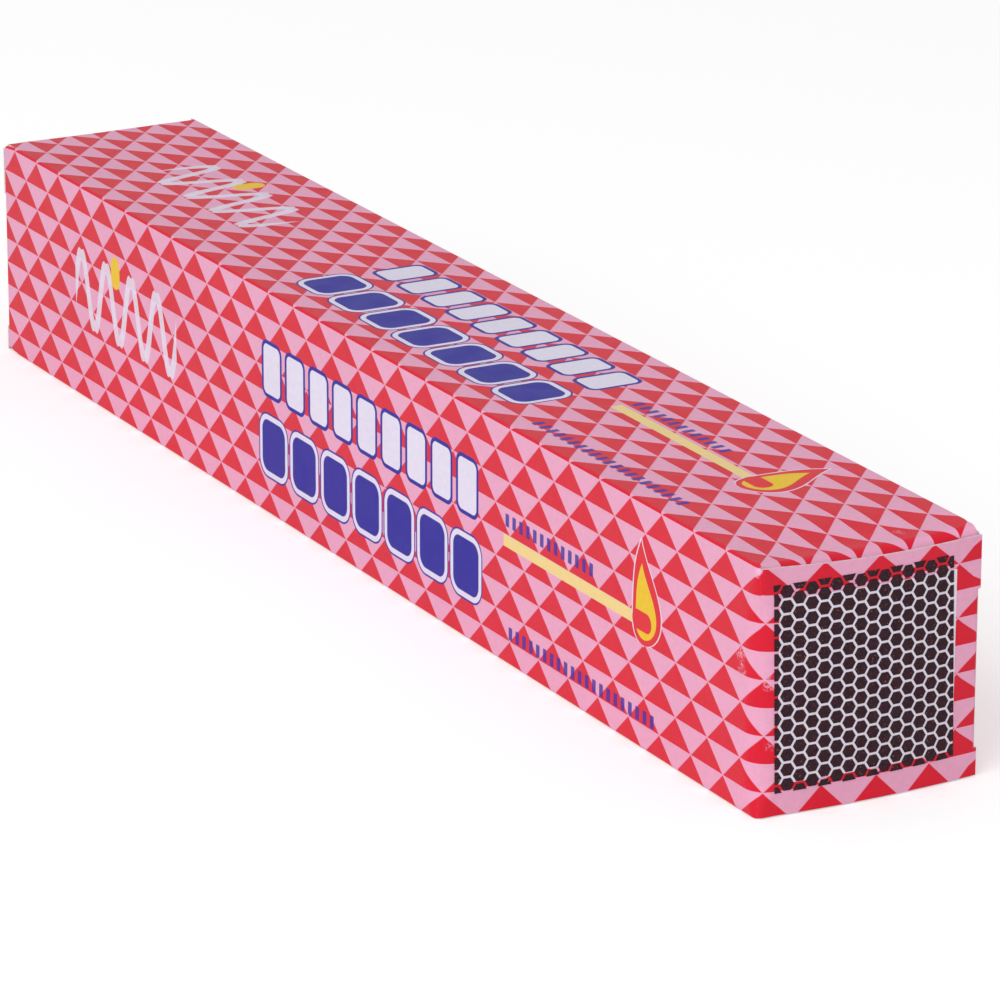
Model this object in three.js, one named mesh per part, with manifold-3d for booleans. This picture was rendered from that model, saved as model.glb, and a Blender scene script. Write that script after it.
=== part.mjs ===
// Long-match box: a square card carton with a tuck-in lid at each end, filled with long matches.
// Millimetres, +Z up. The carton lies on one long side. X is across it, Y runs along it and the end
// with the striking surface is at -Y. The origin is the middle of the underside.

import * as THREE from 'three';
import { mergeVertices } from 'three/addons/utils/BufferGeometryUtils.js';
import Module from 'manifold-3d';

const wasm = await Module();
wasm.setup();

// Carton, as long as its matches need
const MATCH_LENGTH = 279;
const END_ROOM = 5.5; // from a match to the end of the carton
const LENGTH = MATCH_LENGTH + 2 * END_ROOM;
const WIDTH = 41.5;
const HEIGHT = 42.5;
const BOARD = 0.5; // thickness of the card
const FIT = 0.3; // clearance between pieces that move or lie against each other
const LONG_FOLD_RADIUS = 2; // outside of the four long folds
const GLUE_FLAP_WIDTH = 12;
const GLUE_FLAP_SETBACK = 9; // from each end of the carton
const SEAM_WIDTH = 0.3;
const SEAM_DEPTH = 0.25;
const SEAM_INSET = 1.2; // from the side of the carton to the seam

// Dust flaps, which fold in behind each lid from the top and from the bottom
const FLAP_LENGTH = 11;
const FLAP_FOLD_RADIUS = 3;
const FLAP_SIDE_GAP = 2.3; // from the side of the carton to the flap
const FLAP_SHOULDER = 1; // height at the fold that keeps the flap's full width
const FLAP_TAPER = 1.6; // taken off each side at the free edge
const FLAP_CORNER_RADIUS = 2;

// Lids
const LID_FOLD_RADIUS = 4; // outside of the soft fold that a lid hangs on
const LID_BULGE = 1.3; // how far the middle of the lid stands out
const LID_SETBACK = 0.8; // of its tucked side behind its hinged side
const LID_BOTTOM_GAP = 0.5; // from the table to the lid
const LID_TOP_GAP = 0.8; // from the top of the carton down to the lid
const LID_EDGE_INSET = 0.1; // of the shoulders from the side of the carton
const SHOULDER_TOP = 9.5; // height of the part of the edge that doesn't fold, at the top
const SHOULDER_BOTTOM = 4.5;
const SLIT_WIDTH = 0.4; // cut between a shoulder and the tab
const TAB_LENGTH = 11;
const TAB_FOLD_RADIUS = 0.9;
const TAB_CORNER_RADIUS = 6;
const HINGE_GAP = 0.1; // between the two halves of the fold

// Striking surface, a film of hexagon cells on the near lid
const CELL_COLUMNS = 15; // with half a column at each side
const CELL_ROWS = 14;
const CELL_COLUMN_PITCH = 2.25;
const CELL_ROW_PITCH = 2.52;
const CELL_LINE = 0.38; // width of the lines between cells
const STRIKER_WIDTH = CELL_COLUMNS * CELL_COLUMN_PITCH;
const STRIKER_HEIGHT = CELL_ROWS * CELL_ROW_PITCH;
const STRIKER_LEFT = 2.9; // from the hinged side of the carton
const STRIKER_BOTTOM = 3.7;
const STRIKER_FILM = 0.1;
const STRIKER_CELL_HEIGHT = 0.1;
const STRIKER_GAP = 0.02; // between the film and the lid
const STRIKER_MARGIN = 0.06; // of the film, outside the outermost cells

// Matches
const MATCH_COUNT = 40;
const SPLINT_SIDE = 3.6;
const SPLINT_CHAMFER = 0.25;
const HEAD_WIDTH = 4.4; // of the dipped head at its thickest
const HEAD_LENGTH = 9;
const DIP_LENGTH = 4; // of the thin coat behind the head
const DIP_THICKNESS = 0.15;

// Fineness of the curves
const FOLD_STEPS = 5;
const BULGE_STEPS = 8;
const CORNER_STEPS = 4;
const HEAD_SIDES = 8;
const HEAD_RINGS = 6;

// Places that follow from the sizes
const HALF_LENGTH = LENGTH / 2;
const HALF_WIDTH = WIDTH / 2;
const FLAP_FACE = HALF_LENGTH - LID_SETBACK - BOARD - FIT; // outer face of the dust flaps, from the middle
const FLAP_START = FLAP_FACE - FLAP_FOLD_RADIUS;
const FOLDS_START = Math.min(HALF_LENGTH - LID_FOLD_RADIUS, FLAP_START);
const PANELS_PART = FOLDS_START - BOARD; // the four panels run as one tube up to here
const FLAP_ROOT = PANELS_PART - 2 * BOARD; // where the parts beyond the tube begin, inside it

const card = { color: 0xe65a6e, roughness: 0.45, metalness: 0 };
const abrasive = { color: 0x3c2326, roughness: 0.85, metalness: 0 };
const wood = { color: 0xdcbf8f, roughness: 0.7, metalness: 0 };


// Solids and meshes

function solidOf(geometry) {
  const plain = geometry.clone();
  plain.deleteAttribute('normal');
  plain.deleteAttribute('uv');
  const merged = mergeVertices(plain, 1e-5);
  return new wasm.Manifold(new wasm.Mesh({
    numProp: 3,
    vertProperties: new Float32Array(merged.attributes.position.array),
    triVerts: new Uint32Array(merged.index.array),
  }));
}

function geometryOf(solid) {
  const mesh = solid.getMesh();
  const geometry = new THREE.BufferGeometry();
  geometry.setAttribute('position', new THREE.BufferAttribute(new Float32Array(mesh.vertProperties), 3));
  geometry.setIndex(new THREE.BufferAttribute(new Uint32Array(mesh.triVerts), 1));
  geometry.computeVertexNormals();
  return geometry;
}

function namedMesh(name, geometry, look) {
  const mesh = new THREE.Mesh(geometry, new THREE.MeshStandardMaterial(look));
  mesh.name = name;
  return mesh;
}

function prism(outline, depth, holes = []) {
  const shape = new THREE.Shape(outline);
  for (const hole of holes) shape.holes.push(new THREE.Path(hole));
  return new THREE.ExtrudeGeometry(shape, { depth, bevelEnabled: false });
}

// Outline in X and Y, raised from z = low to z = high
function standingPrism(outline, low, high) {
  return solidOf(prism(outline, high - low).translate(0, 0, low));
}

// Outline in Y and Z, run along X from left to right
function crossPrism(outline, left, right) {
  const turned = new THREE.Matrix4().makeBasis(
    new THREE.Vector3(0, 1, 0), new THREE.Vector3(0, 0, 1), new THREE.Vector3(1, 0, 0));
  return solidOf(prism(outline, right - left).applyMatrix4(turned).translate(left, 0, 0));
}

// Outline in X and Z, run along Y from near to far
function lengthPrism(outline, near, far, holes = []) {
  const turned = new THREE.Matrix4().makeBasis(
    new THREE.Vector3(-1, 0, 0), new THREE.Vector3(0, 0, 1), new THREE.Vector3(0, 1, 0));
  const mirrored = (points) => points.map((point) => new THREE.Vector2(-point.x, point.y)).reverse();
  const geometry = prism(mirrored(outline), far - near, holes.map(mirrored));
  return solidOf(geometry.applyMatrix4(turned).translate(0, near, 0));
}

function block(x0, x1, y0, y1, z0, z1) {
  const geometry = new THREE.BoxGeometry(x1 - x0, y1 - y0, z1 - z0);
  return solidOf(geometry.translate((x0 + x1) / 2, (y0 + y1) / 2, (z0 + z1) / 2));
}

function halfTurn(solid) {
  return solidOf(geometryOf(solid).rotateZ(Math.PI));
}


// Outlines

function roundedRectangle(left, right, bottom, top, radius) {
  const corners = [
    [right - radius, top - radius, 0],
    [left + radius, top - radius, 1],
    [left + radius, bottom + radius, 2],
    [right - radius, bottom + radius, 3],
  ];
  const points = [];
  for (const [x, y, quarter] of corners) {
    for (let step = 0; step <= CORNER_STEPS; step += 1) {
      const angle = (quarter + step / CORNER_STEPS) * Math.PI / 2;
      points.push(new THREE.Vector2(x + radius * Math.cos(angle), y + radius * Math.sin(angle)));
    }
  }
  return points;
}

// A run of card seen edge on: points of its outer face, each with the direction that it faces
function arcRun(centre, radius, from, to, steps) {
  const run = [];
  for (let step = 0; step <= steps; step += 1) {
    const angle = from + (to - from) * step / steps;
    const facing = new THREE.Vector2(Math.cos(angle), Math.sin(angle));
    run.push({ point: facing.clone().multiplyScalar(radius).add(centre), facing });
  }
  return run;
}

// Closed outline of a run of card, between two depths below the outer face
function cardOutline(run, near = 0, deep = BOARD) {
  const at = (depth) => run.map(({ point, facing }) => point.clone().addScaledVector(facing, -depth));
  return [...at(near), ...at(deep).reverse()];
}


// Lid: half of the soft fold, the bulging panel, its shoulders and the tuck tab

const LID_BOTTOM = LID_BOTTOM_GAP;
const LID_TOP = HEIGHT - LID_TOP_GAP;
const foldCentre = new THREE.Vector2(-HALF_WIDTH + LID_FOLD_RADIUS, -HALF_LENGTH + LID_FOLD_RADIUS);
const MID_FOLD = 1.25 * Math.PI; // direction that the middle of the fold faces
const hinge = new THREE.Vector2(Math.cos(MID_FOLD), Math.sin(MID_FOLD))
  .multiplyScalar(LID_FOLD_RADIUS).add(foldCentre);
const HINGE_GAP_ANGLE = HINGE_GAP / 2 / LID_FOLD_RADIUS;

const tabFoldX = HALF_WIDTH - BOARD - FIT - TAB_FOLD_RADIUS;
const panelSpan = tabFoldX - foldCentre.x;
const hingedTilt = Math.atan((4 * LID_BULGE - LID_SETBACK) / panelSpan); // of the panel at its soft fold
const tuckedTilt = Math.atan((4 * LID_BULGE + LID_SETBACK) / panelSpan); // of the panel at its tab

function panelRun() {
  const start = arcRun(foldCentre, LID_FOLD_RADIUS, 1.5 * Math.PI - hingedTilt, 1.5 * Math.PI, 1)[0].point;
  const span = tabFoldX + TAB_FOLD_RADIUS * Math.sin(tuckedTilt) - start.x;
  const outward = Math.tan(hingedTilt);
  const bend = Math.tan(hingedTilt) + Math.tan(tuckedTilt);
  const run = [];
  for (let step = 0; step <= BULGE_STEPS; step += 1) {
    const share = step / BULGE_STEPS;
    run.push({
      point: new THREE.Vector2(
        start.x + share * span, start.y + span * share * (bend * share / 2 - outward)),
      facing: new THREE.Vector2(bend * share - outward, -1).normalize(),
    });
  }
  return run;
}

const lidPanel = panelRun();
const panelEnd = lidPanel[BULGE_STEPS];
const shoulderReach = HALF_WIDTH - LID_EDGE_INSET - panelEnd.point.x;
const shoulderTip = new THREE.Vector2(
  panelEnd.point.x + shoulderReach, panelEnd.point.y + shoulderReach * Math.tan(tuckedTilt));
const tabFoldCentre = panelEnd.point.clone().addScaledVector(panelEnd.facing, -TAB_FOLD_RADIUS);
const sideEdge = shoulderTip.y + BOARD / Math.cos(tuckedTilt) + FIT; // cut edge of the other side panel

// The tab leans in, so that its tip swings clear of the side panel when the lid turns on its fold
function tabLean() {
  const reach = HALF_WIDTH - BOARD - FIT / 2 - hinge.x;
  const root = tabFoldCentre.clone().add(new THREE.Vector2(TAB_FOLD_RADIUS, 0)).sub(hinge);
  const span = root.length();
  return root.angle() - (root.y < 0 ? 2 * Math.PI : 0)
    + Math.asin((span * span + TAB_LENGTH * TAB_LENGTH - reach * reach) / (2 * TAB_LENGTH * span));
}

function tabRun() {
  const lean = tabLean();
  const fold = arcRun(tabFoldCentre, TAB_FOLD_RADIUS, tuckedTilt - Math.PI / 2, lean, FOLD_STEPS);
  const { point, facing } = fold[FOLD_STEPS];
  const along = new THREE.Vector2(-Math.sin(lean), Math.cos(lean));
  return { fold, tip: { point: point.clone().addScaledVector(along, TAB_LENGTH), facing } };
}

function lid() {
  const softFold = arcRun(
    foldCentre, LID_FOLD_RADIUS, MID_FOLD + HINGE_GAP_ANGLE, 1.5 * Math.PI - hingedTilt, FOLD_STEPS);
  const shoulder = { point: shoulderTip, facing: panelEnd.facing };
  const plate = standingPrism(cardOutline([...softFold, ...lidPanel.slice(1), shoulder]), LID_BOTTOM, LID_TOP);

  const tabBottom = LID_BOTTOM + SHOULDER_BOTTOM;
  const tabTop = LID_TOP - SHOULDER_TOP;
  const notchTop = tabTop + SLIT_WIDTH;
  const notchBottom = tabBottom - SLIT_WIDTH;
  const far = -HALF_LENGTH + 2 * TAB_LENGTH;
  const notch = block(panelEnd.point.x, WIDTH, -LENGTH, far, notchBottom, notchTop);

  const { fold, tip } = tabRun();
  const root = lidPanel[BULGE_STEPS - 1];
  const tab = standingPrism(cardOutline([root, ...fold, tip]), tabBottom, tabTop);
  const tabOutline = roundedRectangle(-LENGTH, tip.point.y, tabBottom, tabTop, TAB_CORNER_RADIUS);
  const rounding = crossPrism(tabOutline, -WIDTH, WIDTH);
  return plate.subtract(notch).add(tab.intersect(rounding));
}


// Carton: one folded sheet, made of the long tube, the parts of the panels beyond it and the glue flap

function tube(near, far) {
  const outside = roundedRectangle(-HALF_WIDTH, HALF_WIDTH, 0, HEIGHT, LONG_FOLD_RADIUS);
  const inside = roundedRectangle(
    -HALF_WIDTH + BOARD, HALF_WIDTH - BOARD, BOARD, HEIGHT - BOARD, LONG_FOLD_RADIUS - BOARD);
  return lengthPrism(outside, near, far, [inside]);
}

function dustFlap() {
  const centre = new THREE.Vector2(-FLAP_START, HEIGHT - FLAP_FOLD_RADIUS);
  const fold = arcRun(centre, FLAP_FOLD_RADIUS, Math.PI / 2, Math.PI, FOLD_STEPS);
  const root = { point: new THREE.Vector2(-FLAP_ROOT, HEIGHT), facing: fold[0].facing };
  const freePoint = new THREE.Vector2(-FLAP_FACE, HEIGHT - FLAP_LENGTH);
  const free = { point: freePoint, facing: fold[FOLD_STEPS].facing };
  const side = HALF_WIDTH - FLAP_SIDE_GAP;
  const folded = crossPrism(cardOutline([root, ...fold, free]), -side, side);
  const low = HEIGHT - FLAP_LENGTH;
  const straight = HEIGHT - FLAP_FOLD_RADIUS;
  const narrowLeft = foldCentre.x + FLAP_TAPER;
  const narrowRight = side - FLAP_TAPER;
  const corner = FLAP_CORNER_RADIUS;
  const cut = [
    new THREE.Vector2(-side, HEIGHT),
    new THREE.Vector2(-side, HEIGHT - FLAP_SHOULDER),
    new THREE.Vector2(foldCentre.x, straight),
    new THREE.Vector2(narrowLeft, low + corner),
    new THREE.Vector2(narrowLeft + corner, low),
    new THREE.Vector2(narrowRight - corner, low),
    new THREE.Vector2(narrowRight, low + corner),
    new THREE.Vector2(side, straight),
    new THREE.Vector2(side, HEIGHT),
  ];
  return folded.intersect(lengthPrism(cut, -LENGTH, LENGTH));
}

// Mirrored top to bottom, so that the sheet keeps its hinged side
function upsideDown(solid) {
  const geometry = geometryOf(solid);
  const index = geometry.index.array;
  const flipped = geometry.scale(1, 1, -1).translate(0, 0, HEIGHT);
  for (let corner = 0; corner < index.length; corner += 3) {
    [index[corner + 1], index[corner + 2]] = [index[corner + 2], index[corner + 1]];
  }
  return solidOf(flipped);
}

// The long folds go on to the soft fold of the lid at one side and to the panel's cut edge at the other
function cartonEnd() {
  const fold = arcRun(
    foldCentre, LID_FOLD_RADIUS, Math.PI, MID_FOLD - HINGE_GAP_ANGLE, FOLD_STEPS);
  const root = { point: new THREE.Vector2(-HALF_WIDTH, -FLAP_ROOT), facing: fold[0].facing };
  const run = [root, ...fold];
  const hingedSide = standingPrism(cardOutline(run), LID_BOTTOM, LID_TOP);
  const inner = HALF_WIDTH - LONG_FOLD_RADIUS;
  const longFolds = tube(-HALF_LENGTH, -FLAP_ROOT)
    .intersect(block(-WIDTH, -inner, -LENGTH, 0, 0, HEIGHT))
    .intersect(standingPrism(cardOutline(run, 0, LONG_FOLD_RADIUS), 0, HEIGHT));
  const plainSide = tube(sideEdge, -FLAP_ROOT).intersect(block(inner, WIDTH, -LENGTH, 0, 0, HEIGHT));
  const flap = dustFlap();
  return hingedSide.add(longFolds).add(plainSide).add(flap).add(upsideDown(flap));
}

function carton() {
  const glueEnd = HALF_LENGTH - GLUE_FLAP_SETBACK;
  const inner = HALF_WIDTH - BOARD;
  const sunk = BOARD / 2;
  const glueOutline = [
    new THREE.Vector2(inner + sunk, -glueEnd),
    new THREE.Vector2(inner + sunk, glueEnd),
    new THREE.Vector2(inner - GLUE_FLAP_WIDTH, glueEnd - GLUE_FLAP_WIDTH / 2),
    new THREE.Vector2(inner - GLUE_FLAP_WIDTH, -glueEnd + GLUE_FLAP_WIDTH / 2),
  ];
  const inside = block(-HALF_WIDTH + sunk, HALF_WIDTH - sunk, -HALF_LENGTH, HALF_LENGTH, sunk, HEIGHT);
  const glueFlap = standingPrism(glueOutline, sunk, 2 * BOARD).intersect(inside);
  const seamX = HALF_WIDTH - SEAM_INSET;
  const seam = block(seamX - SEAM_WIDTH, seamX, -LENGTH, LENGTH, -BOARD, SEAM_DEPTH);
  const end = cartonEnd();
  return tube(-PANELS_PART, PANELS_PART).add(end).add(halfTurn(end)).subtract(seam).add(glueFlap);
}


// Striking surface

// Six-sided cell with a corner to each side
function hexagon(x, z) {
  const turn = Math.PI / 3;
  const halfHeight = (CELL_ROW_PITCH - CELL_LINE) / 2;
  const halfWidth = CELL_COLUMN_PITCH / 1.5 - CELL_LINE / 2 / Math.sin(turn);
  const points = [];
  for (let angle = 0; angle < 2 * Math.PI - turn / 2; angle += turn) {
    points.push(new THREE.Vector2(
      x + halfWidth * Math.cos(angle), z + halfHeight * Math.sin(angle) / Math.sin(turn)));
  }
  return points;
}

function striker() {
  const left = -HALF_WIDTH + STRIKER_LEFT;
  const right = left + STRIKER_WIDTH;
  const top = STRIKER_BOTTOM + STRIKER_HEIGHT;
  const window = (cover, margin) => block(
    left + margin, right - margin, -LENGTH, 0, STRIKER_BOTTOM + margin, top - margin).intersect(cover);
  const start = arcRun(foldCentre, LID_FOLD_RADIUS, MID_FOLD, 1.5 * Math.PI - hingedTilt, FOLD_STEPS);
  const run = [...start, ...lidPanel.slice(1)];
  const layer = (low, high) => standingPrism(cardOutline(run, -high, -low), 0, HEIGHT);
  const film = window(layer(STRIKER_GAP, STRIKER_GAP + STRIKER_FILM), 0);
  const cells = [];
  for (let column = 0; column <= CELL_COLUMNS; column += 1) {
    for (let row = 0; row <= CELL_ROWS; row += 1) {
      const x = left + column * CELL_COLUMN_PITCH;
      const z = top - (row + (column % 2) / 2) * CELL_ROW_PITCH;
      const cell = hexagon(x, z);
      cells.push(lengthPrism(cell, -HALF_LENGTH - 2 * LID_BULGE, -HALF_LENGTH + LID_FOLD_RADIUS));
    }
  }
  const raised = wasm.Manifold.union(cells)
    .intersect(window(
      layer(STRIKER_GAP + STRIKER_FILM / 2, STRIKER_GAP + STRIKER_FILM + STRIKER_CELL_HEIGHT), STRIKER_MARGIN));
  return film.add(raised);
}


// Match: a square wooden splint with a dipped head at its far end, from y = 0 to y = MATCH_LENGTH

function chamferedSquare(side, chamfer) {
  const half = side / 2;
  const inner = half - chamfer;
  return [
    [half, -inner], [half, inner], [inner, half], [-inner, half],
    [-half, inner], [-half, -inner], [-inner, -half], [inner, -half],
  ].map(([x, z]) => new THREE.Vector2(x, z));
}

function match() {
  const headStart = MATCH_LENGTH - HEAD_LENGTH;
  const splint = lengthPrism(chamferedSquare(SPLINT_SIDE, SPLINT_CHAMFER), 0, headStart + HEAD_LENGTH / 2);
  const dip = lengthPrism(
    chamferedSquare(SPLINT_SIDE + 2 * DIP_THICKNESS, SPLINT_CHAMFER + DIP_THICKNESS),
    headStart - DIP_LENGTH, headStart + HEAD_LENGTH / 2);
  const radius = HEAD_WIDTH / 2;
  const profile = [new THREE.Vector2(0, headStart)];
  const neck = SPLINT_SIDE / 2 / radius;
  for (let ring = 0; ring < HEAD_RINGS; ring += 1) {
    const share = ring / HEAD_RINGS;
    const swell = Math.sqrt(1 - (2 * share - 1) ** 2);
    const width = Math.max(swell, share < 0.5 ? neck : 0);
    profile.push(new THREE.Vector2(radius * width, headStart + HEAD_LENGTH * share));
  }
  profile.push(new THREE.Vector2(0, MATCH_LENGTH));
  const bulb = new THREE.LatheGeometry(profile, HEAD_SIDES).rotateY(Math.PI / HEAD_SIDES);
  return splint.add(dip).add(solidOf(bulb));
}


// Assembly

const box = new THREE.Group();
box.add(namedMesh('carton', geometryOf(carton()), card));

const lidSolid = lid();
box.add(namedMesh('near_lid', geometryOf(lidSolid), card));
box.add(namedMesh('far_lid', geometryOf(halfTurn(lidSolid)), card));
box.add(namedMesh('striker', geometryOf(striker()), abrasive));

// The pile lies on the glue flap, between a side panel and the tip of the tab that leans in at each end.
// Thicker heads spread the layers towards the far end.
const tabTip = tabRun().tip;
const beside = tabTip.point.x - BOARD * tabTip.facing.x - FIT;
const against = HALF_WIDTH - BOARD - FIT;
const floor = 2 * BOARD + FIT;
const headPitch = HEAD_WIDTH + FIT;
const tailPitch = SPLINT_SIDE + FIT;
const columns = Math.floor((beside + against + FIT) / headPitch);
const layersThatFit = Math.floor((HEIGHT - floor - BOARD) / headPitch);
const matchCount = Math.min(MATCH_COUNT, columns * layersThatFit);
const columnPitch = (beside + against - HEAD_WIDTH) / (columns - 1);
const matchGeometry = geometryOf(match());

for (let number = 0; number < matchCount; number += 1) {
  const layer = Math.floor(number / columns);
  const across = (number % columns) * columnPitch + HEAD_WIDTH / 2;
  const tail = new THREE.Vector3(
    -against + across, -MATCH_LENGTH / 2, floor + SPLINT_SIDE / 2 + layer * tailPitch);
  const head = new THREE.Vector3(
    -beside + across, (MATCH_LENGTH - HEAD_LENGTH) / 2, floor + HEAD_WIDTH / 2 + layer * headPitch);
  const mesh = namedMesh(`match_${String(number + 1).padStart(2, '0')}`, matchGeometry, wood);
  mesh.position.copy(tail);
  mesh.quaternion.setFromUnitVectors(new THREE.Vector3(0, 1, 0), head.sub(tail).normalize());
  box.add(mesh);
}

export default box;
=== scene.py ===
"""A long matchbox of printed card: a square carton, two tuck-in lids and the matches in it.

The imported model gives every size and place. This script adds the printed sheet with its soft folds,
the honeycomb striking surface, the wooden splints and a plain studio. All lengths are in metres.
"""

import logging
import math
from dataclasses import dataclass, field, replace
from enum import Enum
from typing import Callable, Dict, Iterable, Optional, Sequence, Tuple, Union

import bmesh
import bpy
from mathutils import Euler, Matrix, Vector


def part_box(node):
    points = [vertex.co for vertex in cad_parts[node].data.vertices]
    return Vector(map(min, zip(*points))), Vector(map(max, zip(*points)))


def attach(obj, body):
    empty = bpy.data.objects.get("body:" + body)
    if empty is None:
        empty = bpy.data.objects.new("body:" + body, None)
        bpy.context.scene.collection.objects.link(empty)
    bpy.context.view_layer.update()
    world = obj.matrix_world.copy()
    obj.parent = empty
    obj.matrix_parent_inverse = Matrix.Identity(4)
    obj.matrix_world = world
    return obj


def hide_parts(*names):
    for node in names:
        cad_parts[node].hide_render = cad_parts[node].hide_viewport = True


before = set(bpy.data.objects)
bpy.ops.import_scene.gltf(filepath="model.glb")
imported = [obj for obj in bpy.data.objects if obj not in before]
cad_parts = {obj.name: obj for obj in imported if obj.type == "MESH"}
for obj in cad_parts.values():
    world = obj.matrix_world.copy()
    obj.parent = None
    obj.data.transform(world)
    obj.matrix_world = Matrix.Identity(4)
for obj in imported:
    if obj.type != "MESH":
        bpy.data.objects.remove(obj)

log = logging.getLogger("matchbox")

MM = 0.001
TOUCH = 1e-6
ACROSS = Vector((1, 0, 0))
ALONG = Vector((0, 1, 0))
UP = Vector((0, 0, 1))
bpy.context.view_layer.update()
CARTON_LOW, CARTON_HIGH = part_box("carton")

Pair = Tuple[float, float]
Colour = Tuple[float, float, float]
Object = bpy.types.Object
Output = bpy.types.NodeSocket
Socket = Union[Output, float]

NUMBER = "NodeSocketFloat"
VECTOR = "NodeSocketVector"
COLOUR = "NodeSocketColor"


def srgb(red: int, green: int, blue: int) -> Colour:
    """Linear colour of an ink that is named by its 8-bit screen values.

    Args:
        red: Red, from 0 to 255.
        green: Green, from 0 to 255.
        blue: Blue, from 0 to 255.

    Returns:
        Its red, green and blue, from 0 to 1.
    """
    def linear(value: float) -> float:
        return value / 12.92 if value <= 0.04045 else ((value + 0.055) / 1.055) ** 2.4
    return linear(red / 255), linear(green / 255), linear(blue / 255)


def smooth(share: float) -> float:
    """Eases a share between 0 and 1, and holds it there."""
    held = max(0.0, min(1.0, share))
    return held * held * (3 - 2 * held)


class End(Enum):
    """The two ends of the carton. The value is the end's side along Y."""

    NEAR = -1
    FAR = 1

    @property
    def body(self) -> str:
        """Name of the lid's body and of its CAD node."""
        return "near_lid" if self is End.NEAR else "far_lid"


class Face(Enum):
    """The four long panels and the folds between them, in the order that the sheet runs."""

    RIGHT = 0
    TOP_RIGHT = 1
    TOP = 2
    TOP_LEFT = 3
    LEFT = 4
    BOTTOM_LEFT = 5
    BOTTOM = 6
    BOTTOM_RIGHT = 7


@dataclass(frozen=True)
class BoxSize:
    """Sizes of the folded carton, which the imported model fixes."""

    width: float = CARTON_HIGH.x - CARTON_LOW.x
    height: float = CARTON_HIGH.z - CARTON_LOW.z
    length: float = 290 * MM
    board: float = 0.5 * MM
    fit: float = 0.3 * MM
    long_fold: float = 0.6 * MM
    lid_fold: float = 4 * MM
    flap_fold: float = 3 * MM
    flap_setback: float = 1.6 * MM
    panels_part: float = 139.9 * MM
    lid_bottom: float = 0.5 * MM
    lid_top_gap: float = 0.8 * MM
    flap_length: float = 11 * MM

    @property
    def half_width(self) -> float:
        """Half of the width."""
        return self.width / 2

    @property
    def half_length(self) -> float:
        """Half of the length between the ends of the long folds."""
        return self.length / 2

    @property
    def inner(self) -> float:
        """Distance from the middle of the box to where a long fold begins."""
        return self.half_width - self.long_fold

    @property
    def lid_top(self) -> float:
        """Height of the lids' upper cut edge."""
        return self.height - self.lid_top_gap

    @property
    def flap_start(self) -> float:
        """Distance from the middle of the box to where the dust flaps fold down."""
        return self.half_length - self.flap_setback - self.flap_fold

    def face_at(self, x: float, z: float) -> Face:
        """The panel or fold that holds a point of the outer skin.

        Args:
            x: Place across the box.
            z: Height.

        Returns:
            The panel or fold.
        """
        column = -1 if x < -self.inner else 1 if x > self.inner else 0
        row = -1 if z < self.long_fold else 1 if z > self.height - self.long_fold else 0
        return {
            (-1, 1): Face.TOP_LEFT, (0, 1): Face.TOP, (1, 1): Face.TOP_RIGHT, (1, 0): Face.RIGHT,
            (1, -1): Face.BOTTOM_RIGHT, (0, -1): Face.BOTTOM, (-1, -1): Face.BOTTOM_LEFT,
        }.get((column, row), Face.LEFT)

    def around(self, x: float, z: float, face: Face) -> float:
        """Place round the girth of the printed sheet.

        Args:
            x: Place across the box.
            z: Height.
            face: The panel or fold that the point belongs to.

        Returns:
            Distance down the left panel from the middle of its upper fold, negative over the top.
        """
        quarter = self.long_fold * math.pi / 4
        low, high = self.long_fold, self.height - self.long_fold
        tall, wide = high - low, 2 * self.inner
        if face is Face.LEFT:
            return quarter + high - z
        if face is Face.TOP:
            return -quarter - (x + self.inner)
        if face is Face.RIGHT:
            return -3 * quarter - wide - (high - z)
        if face is Face.BOTTOM:
            return 3 * quarter + tall + (x + self.inner)
        if face is Face.TOP_LEFT:
            return self.long_fold * (math.atan2(max(0.0, z - high), x + self.inner) - 0.75 * math.pi)
        if face is Face.TOP_RIGHT:
            turned = math.pi / 2 - math.atan2(z - high, x - self.inner)
            return -quarter - wide - self.long_fold * turned
        if face is Face.BOTTOM_LEFT:
            return quarter + tall + self.long_fold * math.atan2(low - z, -(x + self.inner))
        turned = math.atan2(z - low, x - self.inner) + math.pi / 2
        return 3 * quarter + tall + wide + self.long_fold * turned


SIZE = BoxSize()


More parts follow.
